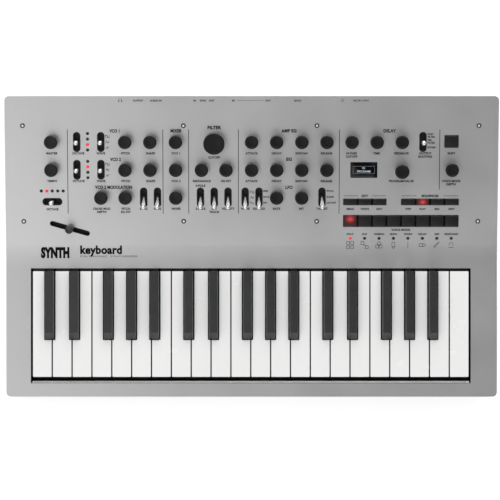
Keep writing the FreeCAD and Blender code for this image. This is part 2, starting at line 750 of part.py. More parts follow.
def rear_panel():
    """Wooden board with an opening for each socket and the power button."""
    y = (WOOD_REAR - WOOD_T, WOOD_REAR)
    board = wood_blank(2 * WOOD_X - 0.4, WOOD_Z[1] - WOOD_Z[0] - 0.4, WOOD_R, y, sum(WOOD_Z) / 2)
    rim = [e for e in board.Edges if e.BoundBox.YMin > y[1] - 0.01]
    board = board.makeFillet(0.8, rim)
    through = (y[0] - 1, y[1] + 1)
    tools = [rod_y(x, SOCKET_Z, 6.2, through) for x in PHONE_JACKS]
    tools += [rod_y(x, SOCKET_Z, 3.9, through) for x in MINI_JACKS]
    tools += [rod_y(x, SOCKET_Z, 9.2, through) for x in ROUND_SOCKETS]
    tools.append(box((DATA_SOCKET - 6.6, DATA_SOCKET + 6.6), through, (SOCKET_Z - 6, SOCKET_Z + 6)))
    tools += [rod_y(x, SOCKET_Z, 5.2, through) for x in (POWER_BUTTON, DC_INLET)]
    return [less(board, tools)]


def jack(x, r, bushing_r, body_w, body_h, depth):
    """A round socket: a block behind the wood, a bushing through it and a plain bore."""
    front = WOOD_REAR - WOOD_T - 0.2
    face = WOOD_REAR - 0.8
    body = box((x - body_w / 2, x + body_w / 2), (front - depth, front),
               (SOCKET_Z - body_h / 2, SOCKET_Z + body_h / 2))
    bushing = rod_y(x, SOCKET_Z, bushing_r, (front - 1, face))
    bore = rod_y(x, SOCKET_Z, r, (face - depth, face + 1))
    return joined([body, bushing]).cut(bore)


def round_socket(x):
    """Five-pole round socket: an open cup with pin holes in its floor."""
    socket = jack(x, ROUND_R, 8.8, 18, 18, 16)
    face = WOOD_REAR - 0.8
    disc = rod_y(x, SOCKET_Z, ROUND_R, (face - 16, face - 8))
    holes = []
    for angle in (0, 45, 90, 135, 180):
        a = math.radians(angle)
        holes.append(rod_y(x + 3.6 * math.cos(a), SOCKET_Z - 3.6 * math.sin(a), 0.8, (face - 14, face - 7)))
    return joined([socket, disc]).cut(holes)


def data_socket():
    """Square socket with a tongue."""
    x = DATA_SOCKET
    y = (124.0, WOOD_REAR - 0.8)
    shell = box((x - 6, x + 6), y, (SOCKET_Z - 5.5, SOCKET_Z + 5.5))
    mouth = box((x - 4.3, x + 4.3), (y[1] - 10, y[1] + 1), (SOCKET_Z - 3.9, SOCKET_Z + 3.9))
    tongue = box((x - 2.8, x + 2.8), (y[1] - 11, y[1] - 1), (SOCKET_Z - 1.6, SOCKET_Z + 1.6))
    return joined([shell.cut(mouth), tongue])


def dc_inlet():
    """Power inlet with its centre pin."""
    inlet = jack(DC_INLET, DC_R, 4.8, 9.6, 11, 14)
    face = WOOD_REAR - 0.8
    return joined([inlet, rod_y(DC_INLET, SOCKET_Z, 0.9, (face - 15, face - 1))])


JACK_BOARD_Z = 28.0


def jack_sockets():
    """Sockets along the rear, and the board that carries them."""
    sockets = [jack(x, PHONE_R, 5.9, 16, 14, 26) for x in PHONE_JACKS]
    sockets += [jack(x, MINI_R, 3.6, 9, 9, 14) for x in MINI_JACKS]
    sockets += [round_socket(x) for x in ROUND_SOCKETS]
    sockets += [data_socket(), dc_inlet(), power_switch()]
    board = box((-150, 125), (112, 139), (JACK_BOARD_Z, JACK_BOARD_Z + BOARD_T))
    bosses = [on_panel(rod(x, SCREW_S[1], 5, (-90, 0))) for x in SCREW_X[1:3]]
    posts = [
        box((x - 3, x + 3), (122, 134), (JACK_BOARD_Z + BOARD_T, bottom))
        for x, bottom in [(x, SOCKET_Z - 7) for x in PHONE_JACKS]
        + [(x, SOCKET_Z - 4.5) for x in MINI_JACKS + (POWER_BUTTON,)]
        + [(DATA_SOCKET, SOCKET_Z - 5.5), (DC_INLET, SOCKET_Z - 5.5)]
    ]
    return sockets + posts + [less(board, bosses)]


def power_switch():
    """Housing behind the power button."""
    body = box((POWER_BUTTON - 5, POWER_BUTTON + 5), (124, 138), (SOCKET_Z - 4.5, SOCKET_Z + 4.5))
    return body.cut(rod_y(POWER_BUTTON, SOCKET_Z, STEM_R + PIVOT_PLAY, (128, 140)))


def power_button():
    """Round push button through the rear panel, with its stem."""
    cap = rod_y(POWER_BUTTON, SOCKET_Z, 4.6, (WOOD_REAR - 7, WOOD_REAR + 1.6))
    cap = cap.makeFillet(0.6, [e for e in cap.Edges if e.BoundBox.YMin > WOOD_REAR + 1])
    stem = rod_y(POWER_BUTTON, SOCKET_Z, STEM_R, (132, WOOD_REAR - 6))
    return [joined([cap, stem])]


def main_board():
    """Main circuit board on the case floor, with its chips, capacitors and a heat spreader."""
    top = FLOOR_TOP + 6 + BOARD_T
    board = box((-190, 190), (42, 108), (FLOOR_TOP + 6, top))
    posts = [rod(x, y, 3, (FLOOR_TOP, FLOOR_TOP + 6)) for x in (-180, 0, 180) for y in (48, 102)]
    chips = [block(x, 80, 16, 16, (top, top + 2)) for x in (-150, -90, -30, 30, 90, 150)]
    capacitors = [rod(x, 52, 4, (top, top + 11)) for x in (-160, -148, 120, 132, 144)]
    spreader = block(60, 56, 36, 10, (top, top + 9))
    return [board] + posts + chips + capacitors + [spreader]


def screws():
    """Eight panel screws with hex sockets, and the screws that hold the keybed from below."""
    head = rod(0, 0, 2.3, (0, 1.5))
    head = head.makeFillet(0.5, [e for e in head.Edges if e.BoundBox.ZMin > 1.4])
    circle = [vec(1.25 * math.cos(math.radians(a)), 1.25 * math.sin(math.radians(a)), 0.7)
              for a in range(0, 360, 60)]
    hexagon = Part.Face(Part.makePolygon(circle + circle[:1])).extrude(vec(0, 0, 2))
    panel_screw = joined([head, rod(0, 0, 1.5, (-12, 0))]).cut(hexagon)
    pieces = [on_panel(moved(panel_screw, x, s)) for x in SCREW_X for s in SCREW_S]
    cross = [block(0, 0, 3.4, 0.8, (2, FOOT_H + 1.0)), block(0, 0, 0.8, 3.4, (2, FOOT_H + 1.0))]
    case_screw = joined([
        rod(0, 0, 2.8, (FOOT_H + 0.2, FOOT_H + 1.3)),
        rod(0, 0, CASE_SCREW_R, (FOOT_H + 1, 15)),
    ]).cut(cross)
    return pieces + [moved(case_screw, x, y) for x, y in KEYBED_SCREWS]


def rubber_feet():
    foot = Part.makeCone(8.4, 9.0, FOOT_H)
    foot = foot.makeFillet(0.5, [e for e in foot.Edges if e.BoundBox.ZMax < 0.01])
    return [moved(foot, x, y) for x in (-215, 215) for y in (-128, 126)]


def key_pivot_rod():
    return [rod_x(0, PIVOT_Z, PIVOT_R, (-CHASSIS_X - 1.2, CHASSIS_X + 1.2))]


# ---- output ----
def nodes():
    """Node name to its list of solids."""
    made = {
        "top_panel": top_panel(),
        "bottom_case": bottom_case(),
        "rear_panel": rear_panel(),
        "keybed_chassis": keybed_chassis(),
        "key_pivot_rod": key_pivot_rod(),
        "key_contact_board": key_contact_board(),
        "key_springs": key_springs(),
        "white_keys_c_f": white_keys((0, 3)),
        "white_keys_d": white_keys((1,)),
        "white_keys_e_b": white_keys((2, 6)),
        "white_keys_g": white_keys((4,)),
        "white_keys_a": white_keys((5,)),
        "black_keys": black_keys(),
        "control_board": control_board(),
        "potentiometers": potentiometers(),
        "switch_bodies": switch_bodies(),
        "indicator_lights": indicator_lights(),
        "display_module": display_module(),
        "main_board": main_board(),
        "jack_sockets": jack_sockets(),
        "screws": screws(),
        "rubber_feet": rubber_feet(),
        "pitch_slider": pitch_slider(),
        "octave_lever": octave_lever(),
        "step_buttons": button_row("step"),
        "function_buttons": button_row("function"),
        "shift_button": shift_button(),
        "power_button": power_button(),
    }
    made.update({name: lever_row(name) for name in LEVER_ROWS})
    made.update({name: knob_at(name) for name in knob_places()})
    return made


def main():
    os.makedirs("parts", exist_ok=True)
    for name, solids in nodes().items():
        solids = [solid for shape in solids for solid in shape.Solids]
        for solid in solids:
            if not solid.isValid() or solid.Volume <= 0:
                raise ValueError(name + " holds a solid that is not valid")
        shape = solids[0] if len(solids) == 1 else Part.makeCompound(solids)
        shape.exportStep(os.path.join("parts", name + ".step"))
        print(name, len(solids), round(shape.Volume / 1000, 2), "cm3")


main()
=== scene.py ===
"""Looks of the tabletop synthesizer: materials, printing, lights in the panel, caps and sockets.

The frame is metres. Places on the control panel are written as (x, s, h) in millimetres, as the
panel's printing is laid out: x to the right, s up the slope from the bend, h out of the surface.
"""

import json
import math

import bmesh
import bpy
from mathutils import Matrix, Vector


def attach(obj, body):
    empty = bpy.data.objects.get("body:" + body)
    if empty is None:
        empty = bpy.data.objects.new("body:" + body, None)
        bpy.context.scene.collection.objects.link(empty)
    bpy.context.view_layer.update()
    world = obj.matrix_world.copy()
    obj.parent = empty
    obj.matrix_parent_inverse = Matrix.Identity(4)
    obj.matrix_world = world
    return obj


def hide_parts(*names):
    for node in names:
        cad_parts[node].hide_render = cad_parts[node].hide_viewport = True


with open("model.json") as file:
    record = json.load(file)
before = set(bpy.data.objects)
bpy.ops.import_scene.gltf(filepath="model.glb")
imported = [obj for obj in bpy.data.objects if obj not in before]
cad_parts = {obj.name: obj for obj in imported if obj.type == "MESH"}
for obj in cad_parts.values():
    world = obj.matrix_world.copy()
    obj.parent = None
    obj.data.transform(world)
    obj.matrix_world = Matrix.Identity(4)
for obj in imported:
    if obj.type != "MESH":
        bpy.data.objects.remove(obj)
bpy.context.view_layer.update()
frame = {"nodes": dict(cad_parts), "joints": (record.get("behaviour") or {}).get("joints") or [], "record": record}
NODES = frame["nodes"]
JOINTS = {joint["child"]: joint for joint in frame["joints"]}

MM = 0.001
BODY = "case"

# ---- the control panel's plane ----
NORMAL = Vector(JOINTS["knob_filter_cutoff"]["axis"]).normalized()
SLOPE = math.asin(-NORMAL.y)
UP_SLOPE = Vector((0, math.cos(SLOPE), math.sin(SLOPE)))
BEND = Vector((0, -8.0, 52.0))
BEND_R = 150.0
BEND_T = BEND_R * math.tan(SLOPE / 2)

# ---- layout of the controls, in millimetres ----
KEY_STEP = -24.6         # where the keys drop to pass under the panel
LIP_REAR = -133.0        # the panel in front of this line borders the key opening
COLUMN = 25.3
ROWS = (115.9, 87.7, 59.5)
LEVER_DROP = 0.6         # the levers and the encoder stand a little in front of their row of knobs
ENCODER_DROP = 1.3
LABEL_DROP = 12.0
SMALL_TEXT = 3.0
TITLE_TEXT = 4.5
TITLE_WEIGHT = 0.048
TEXT_WEIGHT = 0.045      # how far a letter's outline is thickened, as a share of its size
CAP_SHARE = 0.73         # of a letter's nominal size that its capitals fill
LINE_PITCH = 3.3
BUTTON_PITCH = 14.7
BUTTON_ROW_S = {"step": 34.85, "function": 54.35}
PAIR_PITCH = 14.0
LEGEND_SHIFT = 4.4
LED_PITCH = 5.55
OCTAVE_LEVER_S = 54.55
OCTAVE_LIGHTS_S = 65.5
OSCILLATOR_LIGHTS_X = -166.1
VOICE_LIGHTS_S = 17.1
VOICE_WORDS_S = 21.5
VOICE_TITLE_S = 25.9
VOICE_ICONS_S = 10.15
BUTTON_WORDS_S = 47.2
BUTTON_TITLES_S = 60.6
REAR_WORDS_S = 157.3
SCREW_X = (-231.7, -69.0, 66.1, 230.0)
SCREW_S = (34.5, 131.9)


def column_x(column):
    return column * COLUMN


WAVE_LEVER_X = column_x(-6) - 0.9
ROUTING_LEVER_X = column_x(7) - 3.6
TARGET_LEVER_X = column_x(3) - LEGEND_SHIFT
SYNC_PAIR_X = -102.6
FILTER_X = column_x(-1.5)
LFO_PAIR_X = 0.5


def on_panel(x, s, h=0.0):
    """A point of the control panel, in metres; below the bend it follows the panel's curve."""
    if s >= BEND_T:
        return (BEND + Vector((x, 0, 0)) + UP_SLOPE * s + NORMAL * h) * MM
    if s <= -BEND_T:
        return Vector((x, BEND.y + s, BEND.z + h)) * MM
    turn = SLOPE * (s + BEND_T) / (2 * BEND_T)
    radius = BEND_R - h
    return Vector((
        x,
        BEND.y - BEND_T + radius * math.sin(turn),
        BEND.z + BEND_R - radius * math.cos(turn),
    )) * MM


def panel_matrix(x, s, h=0.0, turn=0.0):
    """Placement whose local X, Y and Z are to the right, up the slope and out of the panel."""
    axes = Matrix((Vector((1, 0, 0)), UP_SLOPE, NORMAL)).transposed().to_4x4()
    return Matrix.Translation(on_panel(x, s, h)) @ axes @ Matrix.Rotation(turn, 4, "Z")


def panel_coordinates(point):
    """(x, s) in millimetres of a point in the frame."""
    offset = Vector(point) / MM - BEND
    return offset.x, offset.dot(UP_SLOPE)


# ---- camera and lights ----
CAMERA_HEIGHT = 2.250
CAMERA_Y = -0.00295
FOCAL_PX = 2156.4
FRAME_PX = 500
SENSOR = 36.0
SHIFT_X = -0.0032

TENT = ((0.62, 1.0), (0.86, 0.28))   # height in the sky, from 0 to 1, and the grey there
TENT_STRENGTH = 0.62
FLOOR_GLOW = 0.42


def make_camera():
    data = bpy.data.cameras.new("camera")
    data.sensor_width = SENSOR
    data.lens = FOCAL_PX / FRAME_PX * SENSOR
    data.shift_x = SHIFT_X
    data.clip_end = 50
    camera = bpy.data.objects.new("camera", data)
    camera.location = (0, CAMERA_Y, CAMERA_HEIGHT)
    bpy.context.scene.collection.objects.link(camera)
    bpy.context.scene.camera = camera


def area_light(name, location, size, power, colour=(1, 1, 1)):
    data = bpy.data.lights.new(name, "AREA")
    data.shape = "RECTANGLE"
    data.size, data.size_y = size
    data.energy = power
    data.color = colour
    light = bpy.data.objects.new(name, data)
    light.location = location
    light.rotation_mode = "QUATERNION"
    light.rotation_quaternion = (-Vector(location)).to_track_quat("-Z", "Y")
    bpy.context.scene.collection.objects.link(light)


def make_lights():
    area_light("overhead_left", (-1.25, -0.55, 2.15), (1.7, 2.2), 11.4)
    area_light("overhead_right", (1.0, 0.75, 2.0), (1.2, 1.2), 2.2)
    area_light("front", (0.0, -2.0, 1.9), (2.2, 2.0), 24)
    area_light("rear", (0.1, 2.0, 1.9), (2.4, 2.2), 54)
    area_light("rear_low", (0.4, 2.5, 0.9), (2.2, 0.8), 3)
    bpy.context.scene.view_settings.view_transform = "Standard"


def make_surroundings():
    """A white tent round the table, lit from its sides and darker overhead."""
    world = bpy.data.worlds.new("studio")
    bpy.context.scene.world = world
    world.use_nodes = True
    tree = world.node_tree
    direction = tree.nodes.new("ShaderNodeTexCoord").outputs["Generated"]
    split = tree.nodes.new("ShaderNodeSeparateXYZ")
    tree.links.new(direction, split.inputs["Vector"])
    ramp = tree.nodes.new("ShaderNodeValToRGB")
    tree.links.new(split.outputs["Z"], ramp.inputs["Fac"])
    for element, (height, level) in zip(ramp.color_ramp.elements, TENT):
        element.position = height
        element.color = (*grey(level), 1)
    background = tree.nodes["Background"]
    tree.links.new(ramp.outputs["Color"], background.inputs["Color"])
    background.inputs["Strength"].default_value = TENT_STRENGTH


# ---- materials ----
class Nodes:
    """Short-hand for one material's node tree."""

    def __init__(self, name):
        self.material = bpy.data.materials.new(name)
        self.material.use_nodes = True
        self.tree = self.material.node_tree
        self.shader = self.tree.nodes["Principled BSDF"]
        coordinates = self.new("ShaderNodeTexCoord")
        self.place = coordinates.outputs["Object"]
        self.facing = coordinates.outputs["Normal"]

    def new(self, kind):
        return self.tree.nodes.new(kind)

    def set(self, **values):
        for key, value in values.items():
            self.shader.inputs[key.replace("_", " ")].default_value = value
        return self

    def link(self, a, b):
        self.tree.links.new(a, b)

    def axes(self, vector):
        """A vector's X, Y and Z."""
        node = self.new("ShaderNodeSeparateXYZ")
        self.link(vector, node.inputs["Vector"])
        return node.outputs

    def darkened(self, colour, value, factor):
        """The colour, mixed with a dark grey by the factor."""
        node = self.new("ShaderNodeMixRGB")
        node.inputs["Color2"].default_value = (*grey(value), 1)
        self.link(factor, node.inputs["Fac"])
        self.link(colour, node.inputs["Color1"])
        return node.outputs["Color"]

    def stretched(self, scale):
        """The object coordinates, scaled unevenly along the three axes."""
        node = self.new("ShaderNodeMapping")
        node.inputs["Scale"].default_value = scale
        self.link(self.place, node.inputs["Vector"])
        return node.outputs["Vector"]

    def noise(self, scale, detail=3.0, roughness=0.5, vector=None, distortion=0.0):
        node = self.new("ShaderNodeTexNoise")
        node.inputs["Scale"].default_value = scale
        node.inputs["Detail"].default_value = detail
        node.inputs["Roughness"].default_value = roughness
        node.inputs["Distortion"].default_value = distortion
        self.link(vector or self.place, node.inputs["Vector"])
        return node.outputs["Fac"]

    def cells(self, scale, vector=None):
        node = self.new("ShaderNodeTexVoronoi")
        node.inputs["Scale"].default_value = scale
        self.link(vector or self.place, node.inputs["Vector"])
        return node.outputs["Distance"]

    def math(self, operation, a, b):
        node = self.new("ShaderNodeMath")
        node.operation = operation
        for socket, value in zip(node.inputs, (a, b)):
            if isinstance(value, (int, float)):
                socket.default_value = value
            else:
                self.link(value, socket)
        return node.outputs[0]

    def ramp(self, factor, *stops):
        """Colour ramp from (position, colour) stops."""
        node = self.new("ShaderNodeValToRGB")
        elements = node.color_ramp.elements
        while len(elements) < len(stops):
            elements.new(0.5)
        for element, (position, colour) in zip(elements, stops):
            element.position = position
            element.color = (*colour, 1)
        self.link(factor, node.inputs["Fac"])
        return node.outputs["Color"]

    def spread(self, factor, low, high):
        """The factor's 0.3 to 0.7 spread out between two values."""
        node = self.new("ShaderNodeMapRange")
        node.inputs["From Min"].default_value = 0.3
        node.inputs["From Max"].default_value = 0.7
        node.inputs["To Min"].default_value = low
        node.inputs["To Max"].default_value = high
        self.link(factor, node.inputs["Value"])
        return node.outputs["Result"]

    def colour(self, output):
        self.link(output, self.shader.inputs["Base Color"])

    def roughness(self, output):
        self.link(output, self.shader.inputs["Roughness"])

    def bump(self, height, distance, strength=1.0):
        node = self.new("ShaderNodeBump")
        node.inputs["Distance"].default_value = distance
        node.inputs["Strength"].default_value = strength
        self.link(height, node.inputs["Height"])
        self.link(node.outputs["Normal"], self.shader.inputs["Normal"])


def grey(value, warm=0.0):
    return (value * (1 + warm), value, value * (1 - warm))


def mottled(name, dark, light, scale, rough, bump_scale, bump_depth, metallic=0.0, **values):
    """A plain material with slow colour variation and a fine surface grain."""
    n = Nodes(name).set(Metallic=metallic, **values)
    n.colour(n.ramp(n.noise(scale), (0.3, dark), (0.7, light)))
    n.roughness(n.spread(n.noise(scale * 2.3), *rough))
    n.bump(n.noise(bump_scale, 2.0), bump_depth)
    return n


def make_materials():
    # darkest and lightest colour, scale, roughness, grain's scale and depth, metallic
    plain = {
        "case_plastic": (grey(0.018), grey(0.024), 30, (0.48, 0.58), 1500, 0.0001),
        "steel_parts": (grey(0.60), grey(0.66), 120, (0.18, 0.28), 900, 0.00002, 1.0),
        "spring_steel": (grey(0.40), grey(0.48), 120, (0.25, 0.35), 900, 0.00002, 1.0),
        "chassis_plastic": (grey(0.045), grey(0.06), 40, (0.45, 0.6), 1200, 0.0001),
        "black_key_plastic": (grey(0.017), grey(0.022), 25, (0.30, 0.38), 1500, 0.00004),
        "knob_rubber": (grey(0.004), grey(0.006), 90, (0.28, 0.34), 2200, 0.00002),
        "lever_chrome": (grey(0.76), grey(0.82), 200, (0.06, 0.10), 700, 0.000004, 1.0),
        "lever_satin": (grey(0.86), grey(0.90), 200, (0.30, 0.38), 900, 0.000006, 0.5),
        "button_plastic": (grey(0.004, 0.1), grey(0.007, 0.1), 60, (0.34, 0.42), 1800, 0.00002),
        "circuit_board": (
            (0.012, 0.085, 0.035), (0.018, 0.13, 0.05), 260, (0.3, 0.4), 700, 0.00003),
        "component_body": (grey(0.005), grey(0.009), 300, (0.5, 0.65), 1200, 0.00005),
        "slider_plastic": (grey(0.010), grey(0.014), 90, (0.30, 0.38), 2200, 0.00003),
        # screw_recess is near white as a painted highlight; screw_black is painted shade on the panel screws' rims
        # and the own black of the screws under the case
        "screw_recess": (grey(0.90), grey(0.94), 300, (0.35, 0.45), 1500, 0.00001, 0.2),
        "screw_black": (grey(0.006), grey(0.010), 300, (0.30, 0.40), 1500, 0.00001),
        "socket_black": (grey(0.016), grey(0.022), 200, (0.35, 0.45), 1500, 0.00004),
        "foot_rubber": (grey(0.02), grey(0.028), 80, (0.75, 0.85), 1800, 0.0002),
        "ink": (grey(0.002), grey(0.004), 400, (0.55, 0.65), 2600, 0.00001),
        "display_glass": (grey(0.001), grey(0.002), 60, (0.07, 0.1), 200, 0.000002),
    }
    extra = {
        "knob_rubber": {"Sheen_Weight": 0.45, "Sheen_Roughness": 0.2, "Specular_IOR_Level": 0.3},
        "button_plastic": {"Specular_IOR_Level": 0.3},
        "ink": {"Specular_IOR_Level": 0.1},
        "display_glass": {"Specular_IOR_Level": 0.25},
    }
    made = {name: mottled(name, *values, **extra.get(name, {})) for name, values in plain.items()}
    made["panel_aluminium"] = panel_aluminium()
    made["white_key_plastic"] = white_key_plastic()
    made["wood"] = wood()
    made["led_lens"] = led_lens("led_lens_dark", (0.010, 0.002, 0.002), 0.0)
    made["led_lit"] = led_lens("led_lens_lit", (0.40, 0.01, 0.02), 0.5)
    made["display_pixels"] = display_pixels()
    made["step_buttons_glow"] = lit_cap("step_buttons_glow", 2.0, 6.0)
    made["function_buttons_glow"] = lit_cap("function_buttons_glow", 0.0, 5.2)
    return {name: n.material for name, n in made.items()}


def panel_aluminium():
    """Sandblasted aluminium.

    The start of the bend at the key opening is darkened, to hold back the rear light's
    highlight there.
    """
    n = Nodes("panel_aluminium").set(Metallic=0.95)
    face = n.ramp(n.noise(9), (0.3, grey(0.575)), (0.7, grey(0.595)))
    rearward = n.axes(n.facing)["Y"]
    at_lip = n.math("LESS_THAN", n.axes(n.place)["Y"], LIP_REAR * MM)
    turned = n.math("GREATER_THAN", rearward, 0.02)
    bend = n.math("MULTIPLY", n.spread(rearward, 0.9, -0.5), turned)
    n.colour(n.darkened(face, 0.06, n.math("MULTIPLY", bend, at_lip)))
    n.roughness(n.spread(n.noise(9 * 2.3), 0.33, 0.37))
    n.bump(n.noise(2600, 2.0), 0.00004)
    return n


def white_key_plastic():
    """Glossy white moulding, with painted shade on its sides towards the next key and on its hidden tail under the
    panel.
    """
    n = Nodes("white_key_plastic")
    face = n.ramp(n.noise(14), (0.3, (0.735, 0.735, 0.73)), (0.7, (0.755, 0.755, 0.75)))
    # painted shade: the faces turned along X and the tail behind the key step are mixed towards dark grey
    side = n.math("ABSOLUTE", n.axes(n.facing)["X"], 0.0)
    tail = n.math("GREATER_THAN", n.axes(n.place)["Y"], KEY_STEP * MM)
    n.colour(n.darkened(face, 0.03, n.math("MAXIMUM", n.spread(side, -0.9, 0.9), tail)))
    n.roughness(n.spread(n.noise(32), 0.22, 0.28))
    n.bump(n.noise(500, 2.0), 0.000012)
    return n


def wood():
    """Oiled reddish-brown hardwood: long grain along X, darker pores, slow bands of colour."""
    n = Nodes("wood")
    bands = n.noise(1.0, 5.0, 0.6, n.stretched((3.5, 60.0, 60.0)), 1.4)
    colour = n.ramp(
        bands,
        (0.28, (0.090, 0.030, 0.012)),
        (0.45, (0.165, 0.062, 0.024)),
        (0.60, (0.225, 0.092, 0.038)),
        (0.78, (0.130, 0.046, 0.018)),
    )
    pores = n.noise(1.0, 2.0, 0.5, n.stretched((45.0, 1500.0, 1500.0)))
    shade = n.new("ShaderNodeMixRGB")
    shade.blend_type = "MULTIPLY"
    shade.inputs["Fac"].default_value = 0.65
    n.link(colour, shade.inputs["Color1"])
    n.link(n.ramp(pores, (0.34, grey(0.35)), (0.5, grey(1.0))), shade.inputs["Color2"])
    n.colour(shade.outputs["Color"])
    n.roughness(n.spread(pores, 0.52, 0.36))
    n.bump(pores, 0.00012)
    return n


def led_lens(name, colour, strength):
    """Tinted lens, glowing evenly when it is lit."""
    n = mottled(name, colour, tuple(1.3 * c for c in colour), 500, (0.15, 0.22), 900, 0.00001)
    if strength:
        n.set(Emission_Color=(1.0, 0.03, 0.06, 1), Emission_Strength=strength)
    return n


def lit_cap(name, lamp_y, reach):
    """Smoked cap with a red lamp behind it: brightest over the lamp, almost black at the edges."""
    n = mottled(
        name, (0.012, 0.006, 0.006), (0.016, 0.008, 0.008), 60, (0.34, 0.42), 1800, 0.00002,
        Specular_IOR_Level=0.3)
    shift = n.new("ShaderNodeMapping")
    shift.inputs["Location"].default_value = (0, -lamp_y * MM, 0)
    n.link(n.place, shift.inputs["Vector"])
    length = n.new("ShaderNodeVectorMath")
    length.operation = "LENGTH"
    flatten = n.new("ShaderNodeVectorMath")
    flatten.operation = "MULTIPLY"
    flatten.inputs[1].default_value = (1 / (reach * MM), 1.25 / (reach * MM), 0)
    n.link(shift.outputs["Vector"], flatten.inputs[0])
    n.link(flatten.outputs["Vector"], length.inputs[0])
    glow = n.ramp(
        length.outputs["Value"],
        (0.0, (1.0, 0.13, 0.14)),
        (0.35, (0.70, 0.035, 0.05)),
        (0.75, (0.22, 0.008, 0.010)),
        (1.0, (0.03, 0.002, 0.002)),
    )
    n.link(glow, n.shader.inputs["Emission Color"])
    return n.set(Emission_Strength=0.62)


def display_pixels():
    """Pale blue-white segments, slightly uneven from pixel to pixel."""
    n = Nodes("display_pixels").set(Roughness=0.4)
    n.colour(n.ramp(n.cells(3800), (0.0, (0.30, 0.33, 0.38)), (0.6, (0.22, 0.25, 0.30))))
    return n.set(Emission_Color=(0.78, 0.88, 1.0, 1), Emission_Strength=0.45)


# ---- pieces ----
def add_piece(name, mesh, material, slot, body=BODY, replaces=(), matrix=Matrix.Identity(4)):
    """Puts a mesh in the scene as a piece of the object."""
    piece = bpy.data.objects.new(name, mesh)
    bpy.context.scene.collection.objects.link(piece)
    if not mesh.materials:
        mesh.materials.append(MATERIALS[material])
    piece.matrix_world = matrix
    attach(piece, body)
    if replaces:
        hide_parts(*replaces)
    return piece


def finished(build, name, smooth=40.0):
    """The bmesh as a mesh, smooth except across edges sharper than the given angle in degrees."""
    bmesh.ops.recalc_face_normals(build, faces=build.faces)
    for face in build.faces:
        face.smooth = True
    for edge in build.edges:
        edge.smooth = edge.calc_face_angle(0) < math.radians(smooth)
    mesh = bpy.data.meshes.new(name)
    build.to_mesh(mesh)
    build.free()
    return mesh


def lathed(profile, steps=64, matrix=Matrix.Identity(4)):
    """Revolves (radius, height) points, in millimetres, round local Z; a closed ring or a solid."""
    build = bmesh.new()
    rings = []
    for radius, height in profile:
        if radius < 1e-6:
            rings.append([build.verts.new((0, 0, height * MM))])
            continue
        rings.append([
            build.verts.new((
                radius * MM * math.cos(2 * math.pi * i / steps),
                radius * MM * math.sin(2 * math.pi * i / steps),
                height * MM,
            ))
            for i in range(steps)
        ])
    for a, b in zip(rings, rings[1:]):
        for i in range(steps):
            j = (i + 1) % steps
            corners = [a[i % len(a)], a[j % len(a)], b[j % len(b)], b[i % len(b)]]
            build.faces.new(list(dict.fromkeys(corners)))
    build.transform(matrix)
    return build


def merged(parts):
    """One bmesh out of several."""
    whole = bmesh.new()
    for part in parts:
        mesh = bpy.data.meshes.new("part")
        part.to_mesh(mesh)
        part.free()
        whole.from_mesh(mesh)
        bpy.data.meshes.remove(mesh)
    return whole


def finish_shape(build, name, material, slot, smooth=40.0, **placing):
    """Turns a bmesh into a piece."""
    return add_piece(name, finished(build, name, smooth), material, slot, **placing)


def arc_profile(radius, height, r, start, end, steps=8):
    """(radius, height) points of an arc round a point of the profile plane, angles in degrees."""
    angles = [math.radians(start + (end - start) * i / steps) for i in range(steps + 1)]
    return [(max(radius + r * math.cos(a), 0.0), height + r * math.sin(a)) for a in angles]


def bevelled_block(size, centre=(0, 0, 0), bevel=0.4, segments=3):
    """A block with rounded edges, in millimetres."""
    build = bmesh.new()
    bmesh.ops.create_cube(build, size=1)
    for vertex in build.verts:
        vertex.co = Vector([c + d * v for c, d, v in zip(centre, size, vertex.co)])
    bmesh.ops.bevel(
        build, geom=build.edges[:], offset=bevel, segments=segments, profile=0.5, affect="EDGES")
    bmesh.ops.scale(build, vec=(MM, MM, MM), verts=build.verts)
    return build


def carved(build, cutter):
    """The first shape with the second cut out of it."""
    holders = []
    for shape in (build, cutter):
        mesh = bpy.data.meshes.new("carving")
        shape.to_mesh(mesh)
        shape.free()
        holder = bpy.data.objects.new("carving", mesh)
        bpy.context.scene.collection.objects.link(holder)
        holders.append(holder)
    modifier = holders[0].modifiers.new("cut", "BOOLEAN")
    modifier.object = holders[1]
    modifier.solver = "EXACT"
    graph = bpy.context.evaluated_depsgraph_get()
    mesh = bpy.data.meshes.new_from_object(holders[0].evaluated_get(graph))
    result = bmesh.new()
    result.from_mesh(mesh)
    for holder in holders:
        bpy.data.objects.remove(holder)
    bpy.data.meshes.remove(mesh)
    return result


# ---- controls ----
KNOB_GAP = 0.8
SMALL_KNOB = (7.1, 6.85, 13.0)
CUTOFF_KNOB = (11.2, 10.8, 12.5)
LARGE_KNOB_R = 8.0
ENCODER_KNOB = (7.5, 7.25, 16.5)
LEVER_PIVOT_H = -5.0
LEVER_L = 19.0
LEVER_TIP_R = 2.35
LEVER_THROW = math.radians(27)


def knob_mesh(name, base, top, height):
    """Cap of a rotary control: flared foot, eased rim, dished top and a pointer groove."""
    low = KNOB_GAP
    high = low + height
    large = base > LARGE_KNOB_R
    rim = 0.7 if large else 1.2
    reach = base - 1.2
    profile = [(0, low + 1.2), (base - 1.6, low + 1.2), (base - 1.3, low)]
    profile += arc_profile(base - 0.3, low + 0.3, 0.3, -90, 0, 3)
    profile += [(base - 0.02, low + 1.4), ((base + top) / 2 + 0.05, low + height * 0.5)]
    profile += arc_profile(top - rim, high - rim, rim, 2, 90, 6)
    profile += arc_profile(top - rim - 0.55, high - 0.25, 0.25, 90, 170, 4)
    profile += [(top - rim - 1.05, high - 0.42), (top * 0.5, high - 0.5), (0, high - 0.55)]
    groove = bevelled_block((0.85, reach, 2.0), (0, 1.9 + reach / 2, high - 0.85 + 1.0), 0.12, 2)
    shape = carved(lathed(profile, 96 if large else 72), groove)
    return finished(shape, name, 35)


